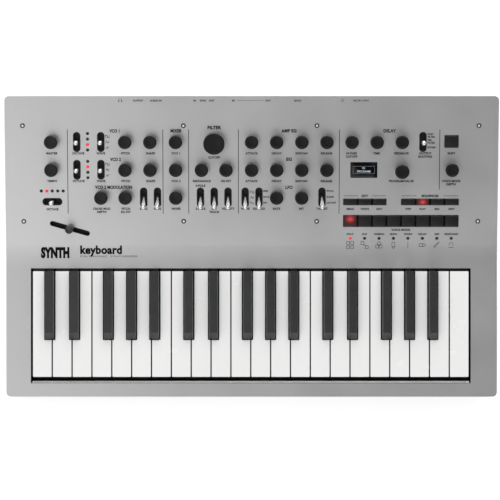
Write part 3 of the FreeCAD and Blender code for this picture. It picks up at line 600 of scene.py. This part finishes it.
def make_knobs():
    shapes = {
        "knob_filter_cutoff": knob_mesh("knob_large", *CUTOFF_KNOB),
        "knob_program_encoder": knob_mesh("knob_tall", *ENCODER_KNOB),
    }
    small = knob_mesh("knob_small", *SMALL_KNOB)
    for name in NODES:
        if name.startswith("knob_"):
            x, s = panel_coordinates(JOINTS[name]["pos_m"])
            add_piece(
                name + "_cap", shapes.get(name, small), "knob_rubber", "knob_rubber", name, (name,),
                panel_matrix(x, s))


def lever_shank():
    """The satin part of a bat lever, upright over its pivot."""
    return lathed([
        (0, 2.0), (0.9, 2.0), (0.95, 3.2), (1.05, 5.0), (1.75, 12.0), (2.2, LEVER_L - 2.0),
        (2.28, LEVER_L - 0.55), (0, LEVER_L - 0.55),
    ], 40)


def lever_tip():
    """The polished round end of a bat lever."""
    dome = arc_profile(0, LEVER_L, LEVER_TIP_R - 0.02, -12, 90, 10)
    return lathed([(0, LEVER_L - 0.5)] + dome, 40)


def lever_pivot():
    """The blackened ball the bat grows out of, with its trunnion."""
    ball = lathed(arc_profile(0, 0, 2.2, -90, 90, 14), 32)
    trunnion = lathed([(0, -3.7), (0.8, -3.7), (0.8, 3.7), (0, 3.7)], 20)
    trunnion.transform(Matrix.Rotation(math.pi / 2, 4, "Y"))
    return merged([ball, trunnion])


def levers():
    """Name to (places of the pivots, turn of the slot, rest tilt)."""
    half = PAIR_PITCH / 2
    low = (
        SYNC_PAIR_X - half, SYNC_PAIR_X + half, FILTER_X - PAIR_PITCH, FILTER_X,
        FILTER_X + PAIR_PITCH, LFO_PAIR_X - half, LFO_PAIR_X + half, TARGET_LEVER_X,
    )
    upper = (column_x(-7), WAVE_LEVER_X, ROUTING_LEVER_X)
    rows = [s - LEVER_DROP for s in ROWS]
    return {
        "levers_upper": ([(x, rows[0]) for x in upper], 0.0, 0.0),
        "levers_middle": ([(x, rows[1]) for x in upper[:2]], 0.0, 0.0),
        "levers_lower": ([(x, rows[2]) for x in low], 0.0, LEVER_THROW),
        "octave_lever": ([(column_x(-8), OCTAVE_LEVER_S)], math.pi / 2, 0.0),
    }


def make_levers():
    for name, (places, turn, tilt) in levers().items():
        shanks, tips, pivots = [], [], []
        for x, s in places:
            place = panel_matrix(x, s, LEVER_PIVOT_H, turn) @ Matrix.Rotation(tilt, 4, "X")
            for make, group in ((lever_shank, shanks), (lever_tip, tips), (lever_pivot, pivots)):
                shape = make()
                shape.transform(place)
                group.append(shape)
        finish_shape(merged(shanks), name + "_shanks", "lever_satin", "lever_chrome",
                     body=name, replaces=(name,))
        finish_shape(merged(tips), name + "_tips", "lever_chrome", "lever_chrome", body=name)
        finish_shape(merged(pivots), name + "_pivots", "component_body", "lever_chrome", body=name)


# ---- lights, buttons, slider and display ----
def button_x(i):
    return column_x(6) + (i - 3.5) * BUTTON_PITCH


LIT_LEDS = (2, 5, 9, 13)


def led_places():
    places = []
    for row in (0, 1):
        places += [
            (OSCILLATOR_LIGHTS_X, ROWS[row] - 0.35 + (1.5 - i) * LED_PITCH) for i in range(4)]
    places += [(column_x(-8) + (i - 2) * LED_PITCH, OCTAVE_LIGHTS_S) for i in range(5)]
    places += [(button_x(i), VOICE_LIGHTS_S) for i in range(8)]
    return places


def make_leds():
    profile = [(0, -2.0), (1.5, -2.0), (1.5, -0.05)] + arc_profile(0, -2.2, 2.65, 53, 90, 6)
    groups = {False: [], True: []}
    for i, (x, s) in enumerate(led_places()):
        shape = lathed(profile, 32)
        shape.transform(panel_matrix(x, s))
        groups[i in LIT_LEDS].append(shape)
    finish_shape(merged(groups[False]), "indicator_lenses_dark", "led_lens", "led_lens",
                 replaces=("indicator_lights",))
    finish_shape(merged(groups[True]), "indicator_lenses_lit", "led_lit", "led_lens")


# name to (place in the row and s of each button, size of a cap, the one that is lit)
BUTTONS = {
    "step_buttons": ([(i, BUTTON_ROW_S["step"]) for i in range(8)], (13.0, 11.0), 0),
    "function_buttons": (
        [(i, BUTTON_ROW_S["function"]) for i in (0, 1, 2, 4, 5, 6, 7)], (13.0, 5.6), 5),
}
SHIFT_CAP = (13.3, 11.6)
CAP_LOW = -3.2
CAP_HIGH = 1.6


def cap_shape(width, height):
    middle = (CAP_LOW + CAP_HIGH) / 2
    return bevelled_block((width, height, CAP_HIGH - CAP_LOW), (0, 0, middle), 0.55, 4)


def make_buttons():
    for name, (places, size, lit) in BUTTONS.items():
        shapes = []
        for i, s in places:
            shape = cap_shape(*size)
            if i == lit:
                finish_shape(shape, name + "_lit_cap", name + "_glow", "button_plastic", body=name,
                             matrix=panel_matrix(button_x(i), s))
                continue
            shape.transform(panel_matrix(button_x(i), s))
            shapes.append(shape)
        finish_shape(merged(shapes), name + "_caps", "button_plastic", "button_plastic",
                     body=name, replaces=(name,))
    shape = cap_shape(*SHIFT_CAP)
    shape.transform(panel_matrix(column_x(8), ROWS[0]))
    finish_shape(shape, "shift_button_cap", "button_plastic", "button_plastic",
                 body="shift_button", replaces=("shift_button",))


SLIDER_AT = (-184.9, 27.2)
SLIDER_ANGLE = math.radians(-15.9)


def make_slider():
    """Cap with a dished top and eased edges, on its flat stem."""
    profile = [(0, 1.6), (3.9, 1.6)] + arc_profile(3.8, 2.1, 0.45, -60, 0, 3)
    profile += arc_profile(3.35, 12.95, 0.65, 4, 90, 5) + [(2.9, 13.6), (2.5, 13.35), (0, 13.25)]
    cap = lathed(profile, 56)
    stem = bevelled_block((4.0, 3.0, 8.8), (0, 0, -2.6), 0.3, 2)
    shape = merged([cap, stem])
    shape.transform(panel_matrix(*SLIDER_AT, 0, SLIDER_ANGLE))
    finish_shape(shape, "pitch_slider_cap", "slider_plastic", "button_plastic",
                 body="pitch_slider", replaces=("pitch_slider",))


DISPLAY_AT = (113.85, 86.9)
SCREEN_H = -0.38


def make_display():
    window = bevelled_block((27.0, 15.7, 1.6), (0, 0, -1.2), 0.15, 2)
    module = bevelled_block((34.8, 21.8, 3.2), (0, 0, -3.8), 0.3, 2)
    for shape, name, replaces in ((window, "display_window", ("display_module",)),
                                  (module, "display_backing", ())):
        shape.transform(panel_matrix(*DISPLAY_AT))
        finish_shape(shape, name, "display_glass", "display_glass", replaces=replaces)
    x, s = DISPLAY_AT
    parts = [
        stroke(frame_points(x, s, 21.8, 7.4), 0.10, closed=True),
        lettering("01", x, s + 2.0, 3.0, weight=0.01),
        lettering("PROGRAM", x, s - 1.4, 3.0, weight=0.01, width=13.0),
    ]
    build = merged(parts)
    for vertex in build.verts:
        vertex.co = on_panel(vertex.co.x, vertex.co.y, SCREEN_H)
    finish_shape(build, "display_text", "display_pixels", "display_glass")


# ---- printing on the panel ----
INK_H = 0.10
RULE_W = 0.62
ICON_W = 0.42


def lettering(text, x, s, size=SMALL_TEXT, align="CENTER", weight=TEXT_WEIGHT, width=None):
    """Flat letters, in millimetres on the panel, their middle line at s.

    width is the length of the line, if it is not to be the letters' own.
    """
    curve = bpy.data.curves.new("lettering", "FONT")
    curve.body = text
    curve.size = size
    curve.align_x = align
    curve.offset = weight * size
    curve.space_character = 1.06
    curve.resolution_u = 3
    holder = bpy.data.objects.new("lettering", curve)
    bpy.context.scene.collection.objects.link(holder)
    mesh = bpy.data.meshes.new_from_object(holder)
    build = bmesh.new()
    build.from_mesh(mesh)
    bpy.data.objects.remove(holder)
    bpy.data.curves.remove(curve)
    bpy.data.meshes.remove(mesh)
    reach = [vertex.co.x for vertex in build.verts]
    stretch = width / (max(reach) - min(reach)) if width else 1.0
    for vertex in build.verts:
        vertex.co = (x + stretch * vertex.co.x, s + vertex.co.y - CAP_SHARE * size / 2, 0)
    return build


def stroke(points, width=ICON_W, closed=False):
    """A flat line of even width through (x, s) points."""
    build = bmesh.new()
    count = len(points)
    rows = []
    for i, point in enumerate(points):
        here = Vector(point)
        before = Vector(points[i - 1]) if closed or i else here
        after = Vector(points[(i + 1) % count]) if closed or i < count - 1 else here
        into = (here - before).normalized() if here != before else (after - here).normalized()
        out = (after - here).normalized() if after != here else into
        along = (into + out).normalized()
        side = Vector((-along.y, along.x)) * width / 2 / max(along.dot(into), 0.5)
        rows.append([build.verts.new((*(here + side), 0)), build.verts.new((*(here - side), 0))])
    if closed:
        rows.append(rows[0])
    for a, b in zip(rows, rows[1:]):
        build.faces.new((a[0], a[1], b[1], b[0]))
    return build


def ring_points(x, s, radius, start=0.0, turn=360.0, steps=24):
    """Points of an arc; a full ring leaves its last point out."""
    last = steps if turn >= 360 else steps - 1
    return [
        (x + radius * math.cos(math.radians(start + turn * i / last)),
         s + radius * math.sin(math.radians(start + turn * i / last)))
        for i in range(steps)
    ]


def frame_points(x, s, width, height):
    half_w, half_h = width / 2, height / 2
    return [
        (x - half_w, s - half_h), (x + half_w, s - half_h),
        (x + half_w, s + half_h), (x - half_w, s + half_h),
    ]


WAVE_W = 3.6
WAVE_H = 2.2


def wave(kind, x, s):
    """One period or so of a square, triangle, saw or sine wave."""
    if kind == "sine":
        spans = 16
        points = [
            (-0.5 + i / spans, 0.5 * math.sin(2 * math.pi * i / spans)) for i in range(spans + 1)]
    else:
        points = {
            "square": [(-0.5, -0.5), (-0.5, 0.5), (0.0, 0.5), (0.0, -0.5), (0.5, -0.5), (0.5, 0.5)],
            "triangle": [(-0.5, -0.5), (-0.15, 0.5), (0.2, -0.5), (0.5, 0.4)],
            "saw": [(-0.5, -0.5), (0.0, 0.5), (0.0, -0.5), (0.5, 0.5)],
        }[kind]
    return stroke([(x + WAVE_W * a, s + WAVE_H * b) for a, b in points], 0.5)


KNOB_LABELS = {
    "knob_master_level": ("MASTER",), "knob_tempo": ("TEMPO",),
    "knob_osc1_pitch": ("PITCH",), "knob_osc1_shape": ("SHAPE",),
    "knob_osc2_pitch": ("PITCH",), "knob_osc2_shape": ("SHAPE",),
    "knob_cross_mod": ("CROSS MOD", "DEPTH"), "knob_pitch_envelope": ("PITCH", "EG INT"),
    "knob_mix_osc1": ("VCO 1",), "knob_mix_osc2": ("VCO 2",), "knob_mix_noise": ("NOISE",),
    "knob_resonance": ("RESONANCE",), "knob_filter_envelope": ("EG INT",),
    "knob_amp_attack": ("ATTACK",), "knob_amp_decay": ("DECAY",),
    "knob_amp_sustain": ("SUSTAIN",), "knob_amp_release": ("RELEASE",),
    "knob_env_attack": ("ATTACK",), "knob_env_decay": ("DECAY",),
    "knob_env_sustain": ("SUSTAIN",), "knob_env_release": ("RELEASE",),
    "knob_lfo_rate": ("RATE",), "knob_lfo_depth": ("INT",),
    "knob_delay_cutoff": ("HI PASS", "CUTOFF"), "knob_delay_time": ("TIME",),
    "knob_delay_feedback": ("FEEDBACK",), "knob_voice_depth": ("VOICE MODE", "DEPTH"),
    "knob_program_encoder": ("PROGRAM/VALUE",),
}
VOICES = ("POLY", "DUO", "UNISON", "MONO", "CHORD", "DELAY", "ARP", "SIDECHAIN")


def knob_printing():
    parts = []
    for name, lines in KNOB_LABELS.items():
        x, s = panel_coordinates(JOINTS[name]["pos_m"])
        drop = LABEL_DROP - ENCODER_DROP if name == "knob_program_encoder" else LABEL_DROP
        for i, line in enumerate(lines):
            parts.append(lettering(line, x, s - drop - i * LINE_PITCH))
    parts.append(lettering("CUTOFF", FILTER_X, 99.7))
    return parts


def section_titles():
    """Names of the sections, over their first row of knobs."""
    middle = column_x(1.5)
    return [
        lettering(text, x, s, TITLE_TEXT, weight=TITLE_WEIGHT, width=width)
        for text, x, s, width in (
            ("VCO 1", -138.4, 126.6, 10.2), ("VCO 2", -137.9, 97.8, 11.0),
            ("VCO 2 MODULATION", -140.0, 69.4, 37.6), ("MIXER", -76.6, 126.8, 11.6),
            ("FILTER", FILTER_X, 130.1, 13.8), ("AMP EG", middle, 126.8, 15.4),
            ("EG", middle, 98.0, 5.6), ("LFO", middle, 69.3, 7.3), ("DELAY", 139.6, 126.8, 12.8),
        )
    ]


def lever_printing():
    """Words and waves beside and below the levers."""
    parts = []
    half = PAIR_PITCH / 2
    for s in ROWS[:2]:
        parts.append(lettering("OCTAVE", column_x(-7) + 1.6, s - LABEL_DROP))
        parts.append(lettering("WAVE", WAVE_LEVER_X, s - LABEL_DROP))
        for i, kind in enumerate(("square", "triangle", "saw")):
            parts.append(wave(kind, -146.1, s - LEVER_DROP + 5.7 * (1 - i)))
    parts.append(lettering("OCTAVE", column_x(-8), ROWS[2] - LABEL_DROP - 0.6))
    low = ROWS[2] - LABEL_DROP
    parts += [
        lettering("SYNC", SYNC_PAIR_X - half, low),
        lettering("RING", SYNC_PAIR_X + half, low),
        lettering("4-POLE", FILTER_X - PAIR_PITCH, 71.0),
        lettering("2-POLE", FILTER_X - PAIR_PITCH, low),
        lettering("KEY", FILTER_X, low),
        lettering("TRACK", FILTER_X, low - LINE_PITCH),
        lettering("VELOCITY", FILTER_X + PAIR_PITCH, low, width=13.0),
        lettering("WAVE", LFO_PAIR_X - half, low),
        lettering("EG MOD", LFO_PAIR_X + half, low),
        lettering("TARGET", TARGET_LEVER_X, low),
    ]
    for i, kind in enumerate(("square", "triangle", "sine")):
        parts.append(wave(kind, 0.4, ROWS[2] - LEVER_DROP + 5.6 * (1 - i)))
    choices = (
        (LFO_PAIR_X + half + 4.4, ROWS[2], (("BPM",), ("RATE",), ("INT",))),
        (TARGET_LEVER_X + 4.7, ROWS[2], (("PITCH",), ("SHAPE",), ("CUTOFF",))),
        (ROUTING_LEVER_X + 4.6, ROWS[0], (("POST", "FILTER"), ("PRE", "FILTER"), ("BYPASS",))),
    )
    for x, s, words in choices:
        for i, lines in enumerate(words):
            for k, line in enumerate(lines):
                middle = s + 6.0 * (1 - i) + 2.7 * ((len(lines) - 1) / 2 - k)
                parts.append(lettering(line, x, middle, 2.4, "LEFT"))
    parts.append(lettering("OUTPUT", ROUTING_LEVER_X + 2.4, ROWS[0] - LABEL_DROP))
    parts.append(lettering("ROUTING", ROUTING_LEVER_X + 2.4, ROWS[0] - LABEL_DROP - LINE_PITCH))
    return parts


def button_printing():
    parts = [lettering("SHIFT", column_x(8), ROWS[0] - LABEL_DROP)]
    first = column_x(6) - 3.5 * BUTTON_PITCH
    s = BUTTON_TITLES_S
    for text, left, count in (("EDIT", 0, 3), ("SEQUENCER", 4, 4)):
        low = first + (left - 0.5) * BUTTON_PITCH
        high = low + count * BUTTON_PITCH
        middle = (low + high) / 2
        reach = 7.2 if text == "EDIT" else 13.8
        parts.append(lettering(text, middle, s, 3.0))
        parts.append(stroke([(low + 0.6, s), (middle - reach, s)], 0.42))
        parts.append(stroke([(middle + reach, s), (high - 0.6, s)], 0.42))
    for i, word in enumerate(("MENU", "WRITE", "EXIT", None, "STEP", "PLAY", "REC", "REST")):
        if word:
            parts.append(lettering(word, first + i * BUTTON_PITCH, BUTTON_WORDS_S, 2.7))
    parts.append(lettering("VOICE MODE", column_x(6), VOICE_TITLE_S))
    for i, word in enumerate(VOICES):
        width = min(1.75 * len(word), 13.8)
        parts.append(lettering(word, first + i * BUTTON_PITCH, VOICE_WORDS_S, 2.6, width=width))
    return parts


def voice_icons():
    """Plain pictures of the eight voice modes."""
    first = column_x(6) - 3.5 * BUTTON_PITCH
    xs = [first + i * BUTTON_PITCH for i in range(8)]
    s = VOICE_ICONS_S
    parts = [
        stroke(frame_points(xs[0] + dx, s + ds, 2.9, 2.9), closed=True)
        for dx in (-2.1, 2.1) for ds in (-2.1, 2.1)
    ]
    parts += [
        stroke(frame_points(xs[1] - 2.2, s + 2.1, 3.0, 3.0), closed=True),
        stroke(frame_points(xs[1] + 2.2, s - 2.1, 3.0, 3.0), closed=True),
        stroke([(xs[1] - 0.7, s + 0.6), (xs[1] + 0.7, s - 0.6)]),
    ]
    parts += [
        stroke(ring_points(xs[2] + dx, s + ds, 1.9), closed=True)
        for dx, ds in ((0, 1.5), (-1.6, -1.3), (1.6, -1.3))
    ]
    parts += [
        stroke(frame_points(xs[3], s + 0.6, 3.0, 4.6), closed=True),
        stroke([(xs[3] - 1.5, s - 1.7), (xs[3], s - 3.6), (xs[3] + 1.5, s - 1.7)]),
        stroke([(xs[4], s - 3.4), (xs[4], s + 3.4)]),
        stroke(frame_points(xs[5] - 1.5, s, 3.4, 3.0), closed=True),
        stroke(ring_points(xs[5] + 1.7, s, 1.5), closed=True),
        stroke([(xs[6] - 3.0, s - 3.2), (xs[6] + 3.0, s + 3.2)]),
        stroke([(xs[6] - 3.0, s - 1.6), (xs[6] + 1.6, s + 3.2)]),
        stroke(ring_points(xs[7], s + 0.9, 1.9, -40, 260), closed=False),
        stroke([(xs[7] - 2.6, s - 2.4), (xs[7] + 2.6, s - 2.4)]),
    ]
    return parts


def dividers():
    """Thin upright rules between the sections."""
    long_rules = (-186.5, -89.9, -63.9, -13.4, 88.9)
    parts = [stroke([(x, 42.4), (x, 128.1)], RULE_W) for x in long_rules]
    parts.append(stroke([(190.5, 67.0), (190.5, 128.1)], RULE_W))
    return parts


def rear_printing():
    """Names of the sockets along the panel's rear edge."""
    s = REAR_WORDS_S
    size = 2.5
    parts = [
        stroke(ring_points(-132.8, s + 0.4, 1.45, 0, 180), 0.22),
        stroke([(-134.2, s + 0.9), (-134.2, s - 1.6)], 0.75),
        stroke([(-131.4, s + 0.9), (-131.4, s - 1.6)], 0.75),
    ]
    parts += [
        lettering(text, x, s, size)
        for text, x in (
            ("OUTPUT", -114.8), ("AUDIO IN", -96.8), ("IN", -57.4), ("SYNC", -48.9), ("OUT", -40.4),
            ("IN", -18.5), ("OUT", 16.5), ("DATA", 46.4), ("DC 9V", 106.6),
        )
    ]
    parts += [
        stroke([(-15.0, s), (12.0, s)], 0.25),
        stroke(ring_points(112.6, s, 0.85, 0, 360), 0.3, closed=True),
        stroke([(113.5, s), (116.7, s)], 0.3),
        stroke(ring_points(115.1, s, 0.55, 0, 360), 0.4, closed=True),
        stroke(ring_points(117.6, s, 0.85, 0, 360), 0.3, closed=True),
        stroke(ring_points(91.8, s, 1.3, 120, 300), 0.28),
        stroke([(91.8, s), (91.8, s + 1.7)], 0.28),
    ]
    return parts


def name_printing():
    """Plain words over the left end of the keys."""
    return [
        lettering("SYNTH", -200.0, 2.7, 13.6, weight=0.075, width=29.0),
        lettering("keyboard", -153.4, 5.6, 11.4, weight=0.045, width=42.6),
        lettering("POLYPHONIC  SYNTHESIZER", -145.4, -1.3, 2.4, weight=0.0, width=58.6),
    ]


def make_printing():
    groups = (
        knob_printing(), section_titles(), lever_printing(), button_printing(), voice_icons(),
        dividers(), rear_printing(), name_printing(),
    )
    build = merged([part for group in groups for part in group])
    for vertex in build.verts:
        vertex.co = on_panel(vertex.co.x, vertex.co.y, INK_H)
    finish_shape(build, "panel_printing", "ink", "case_plastic")


# ---- sockets in the wooden rear ----
SOCKET_FACE = 149.7
SOCKET_Z = 40.0
PHONE_JACKS = (-132.8, -114.8, -96.8)
MINI_JACKS = (-57.4, -40.4)
ROUND_SOCKETS = (-18.5, 16.5)
DATA_SOCKET = 46.4
DC_INLET = 110.0
CONTACT_R = 3.6          # the ring that a round socket's contacts stand on


def rear_matrix(x, y, z=SOCKET_Z):
    """Placement on the rear face: local Z points out of it, local Y up."""
    axes = Matrix(((-1, 0, 0), (0, 0, 1), (0, 1, 0))).transposed().to_4x4()
    return Matrix.Translation(Vector((x, y, z)) * MM) @ axes


def ring_shape(inner, outer, low, high, ease=0.12, steps=48):
    """A flat ring with eased edges, from low to high."""
    profile = [
        (inner, low), (inner, high - ease), (inner + ease, high), (outer - ease, high),
        (outer, high - ease), (outer, low), (inner, low),
    ]
    return lathed(profile, steps)


def make_socket_metal():
    """Nickel collars, liners and contacts that show in the sockets."""
    shapes = []
    for x in PHONE_JACKS:
        shapes.append((ring_shape(3.25, 4.7, -0.2, 0.35), x))
        shapes.append((ring_shape(3.22, 3.32, -14, -1.0), x))
    for x in MINI_JACKS:
        shapes.append((ring_shape(1.85, 2.9, -0.2, 0.3), x))
    for x in ROUND_SOCKETS:
        shapes.append((ring_shape(6.45, 6.72, -7.8, -0.4), x))
        for angle in (0, 45, 90, 135, 180):
            a = math.radians(angle)
            contact = ring_shape(0.5, 0.79, -10.0, -7.95, 0.05, 20)
            offset = Vector((-CONTACT_R * math.cos(a), -CONTACT_R * math.sin(a), 0)) * MM
            contact.transform(Matrix.Translation(offset))
            shapes.append((contact, x))
    shapes.append((ring_shape(2.6, 2.86, -12, -0.6), DC_INLET))
    pin = [(0, -13), (0.93, -13)] + arc_profile(0, -1.93, 0.93, 0, 90, 5)
    shapes.append((lathed(pin, 24), DC_INLET))
    placed = []
    for shape, x in shapes:
        shape.transform(rear_matrix(x, SOCKET_FACE))
        placed.append(shape)
    placed += data_socket_shell()
    finish_shape(merged(placed), "socket_metalwork", "steel_parts", "steel_parts")


def data_socket_shell():
    """Folded metal lining of the square data socket."""
    walls = (
        ((0, 4.02, -4.6), (9.0, 0.24, 9.4)), ((0, -4.02, -4.6), (9.0, 0.24, 9.4)),
        ((4.42, 0, -4.6), (0.24, 8.2, 9.4)), ((-4.42, 0, -4.6), (0.24, 8.2, 9.4)),
    )
    shapes = []
    for centre, size in walls:
        shape = bevelled_block(size, centre, 0.05, 1)
        shape.transform(rear_matrix(DATA_SOCKET, SOCKET_FACE))
        shapes.append(shape)
    return shapes


# ---- screws ----
SCREW_CORE_R = 1.25
KEYBED_SCREWS = [(x, y) for x in (-219.0, 0.0, 219.0) for y in (-118.0, 2.0)]


def make_screws():
    """Panel screws, black at the rim as painted shade round the head and near white in the recess as a painted
    highlight, and black cross-head screws under the case.
    """
    rim = [(SCREW_CORE_R, -1.0), (SCREW_CORE_R, 0.9)] + arc_profile(1.8, 0.75, 0.55, 90, 0, 6)
    rim += [(2.35, 0.02), (2.35, -1.0), (SCREW_CORE_R, -1.0)]
    recess = [(0, -1.0), (SCREW_CORE_R, -1.0), (SCREW_CORE_R, 0.35), (1.15, 0.5), (0, 0.55)]
    underside = [(0, 0), (2.2, 0)] + arc_profile(2.3, 0.5, 0.5, -90, 0, 4) + [(2.8, 1.1), (0, 1.1)]
    rims, highlight_cores = [], []
    for x in SCREW_X:
        for s in SCREW_S:
            collar = lathed(rim, 36)
            core = lathed(recess, 6)
            for shape, group in ((collar, rims), (core, highlight_cores)):
                shape.transform(panel_matrix(x, s))
                group.append(shape)
    for x, y in KEYBED_SCREWS:
        head = lathed(underside, 36)
        cross = merged([bevelled_block((3.4, 0.8, 1.2), (0, 0, 0.1), 0.1, 1),
                        bevelled_block((0.8, 3.4, 1.2), (0, 0, 0.1), 0.1, 1)])
        head = carved(head, cross)
        head.transform(Matrix.Translation(Vector((x, y, 3.2)) * MM))
        rims.append(head)
    # painted shade: screw_black on the panel screws' rims; painted highlight: screw_recess on their cores
    finish_shape(merged(rims), "screw_heads", "screw_black", "steel_parts", replaces=("screws",))
    finish_shape(merged(highlight_cores), "screw_recesses", "screw_recess", "steel_parts", smooth=20)


MATERIALS = {}


def dress_cad_nodes():
    """Every CAD node that stays in view gets the finished material of its slot."""
    slots = {entry["node"]: entry["material_slot"] for entry in frame["record"]["subparts"]}
    for name, node in NODES.items():
        node.data.materials.clear()
        node.data.materials.append(MATERIALS[slots[name]])


def make_floor():
    """White paper on a light table, which glows faintly from below."""
    build = bmesh.new()
    bmesh.ops.create_grid(build, x_segments=2, y_segments=2, size=15)
    floor = bpy.data.objects.new("floor", finished(build, "floor"))
    bpy.context.scene.collection.objects.link(floor)
    n = Nodes("floor_paper")
    n.colour(n.ramp(n.noise(3), (0.3, grey(0.91)), (0.7, grey(0.93))))
    n.set(Roughness=0.9, Emission_Color=(1, 1, 1, 1), Emission_Strength=FLOOR_GLOW)
    floor.data.materials.append(n.material)


make_camera()
make_lights()
make_surroundings()
MATERIALS.update(make_materials())
dress_cad_nodes()
make_floor()
make_printing()
make_knobs()
make_levers()
make_leds()
make_buttons()
make_slider()
make_display()
make_socket_metal()
make_screws()
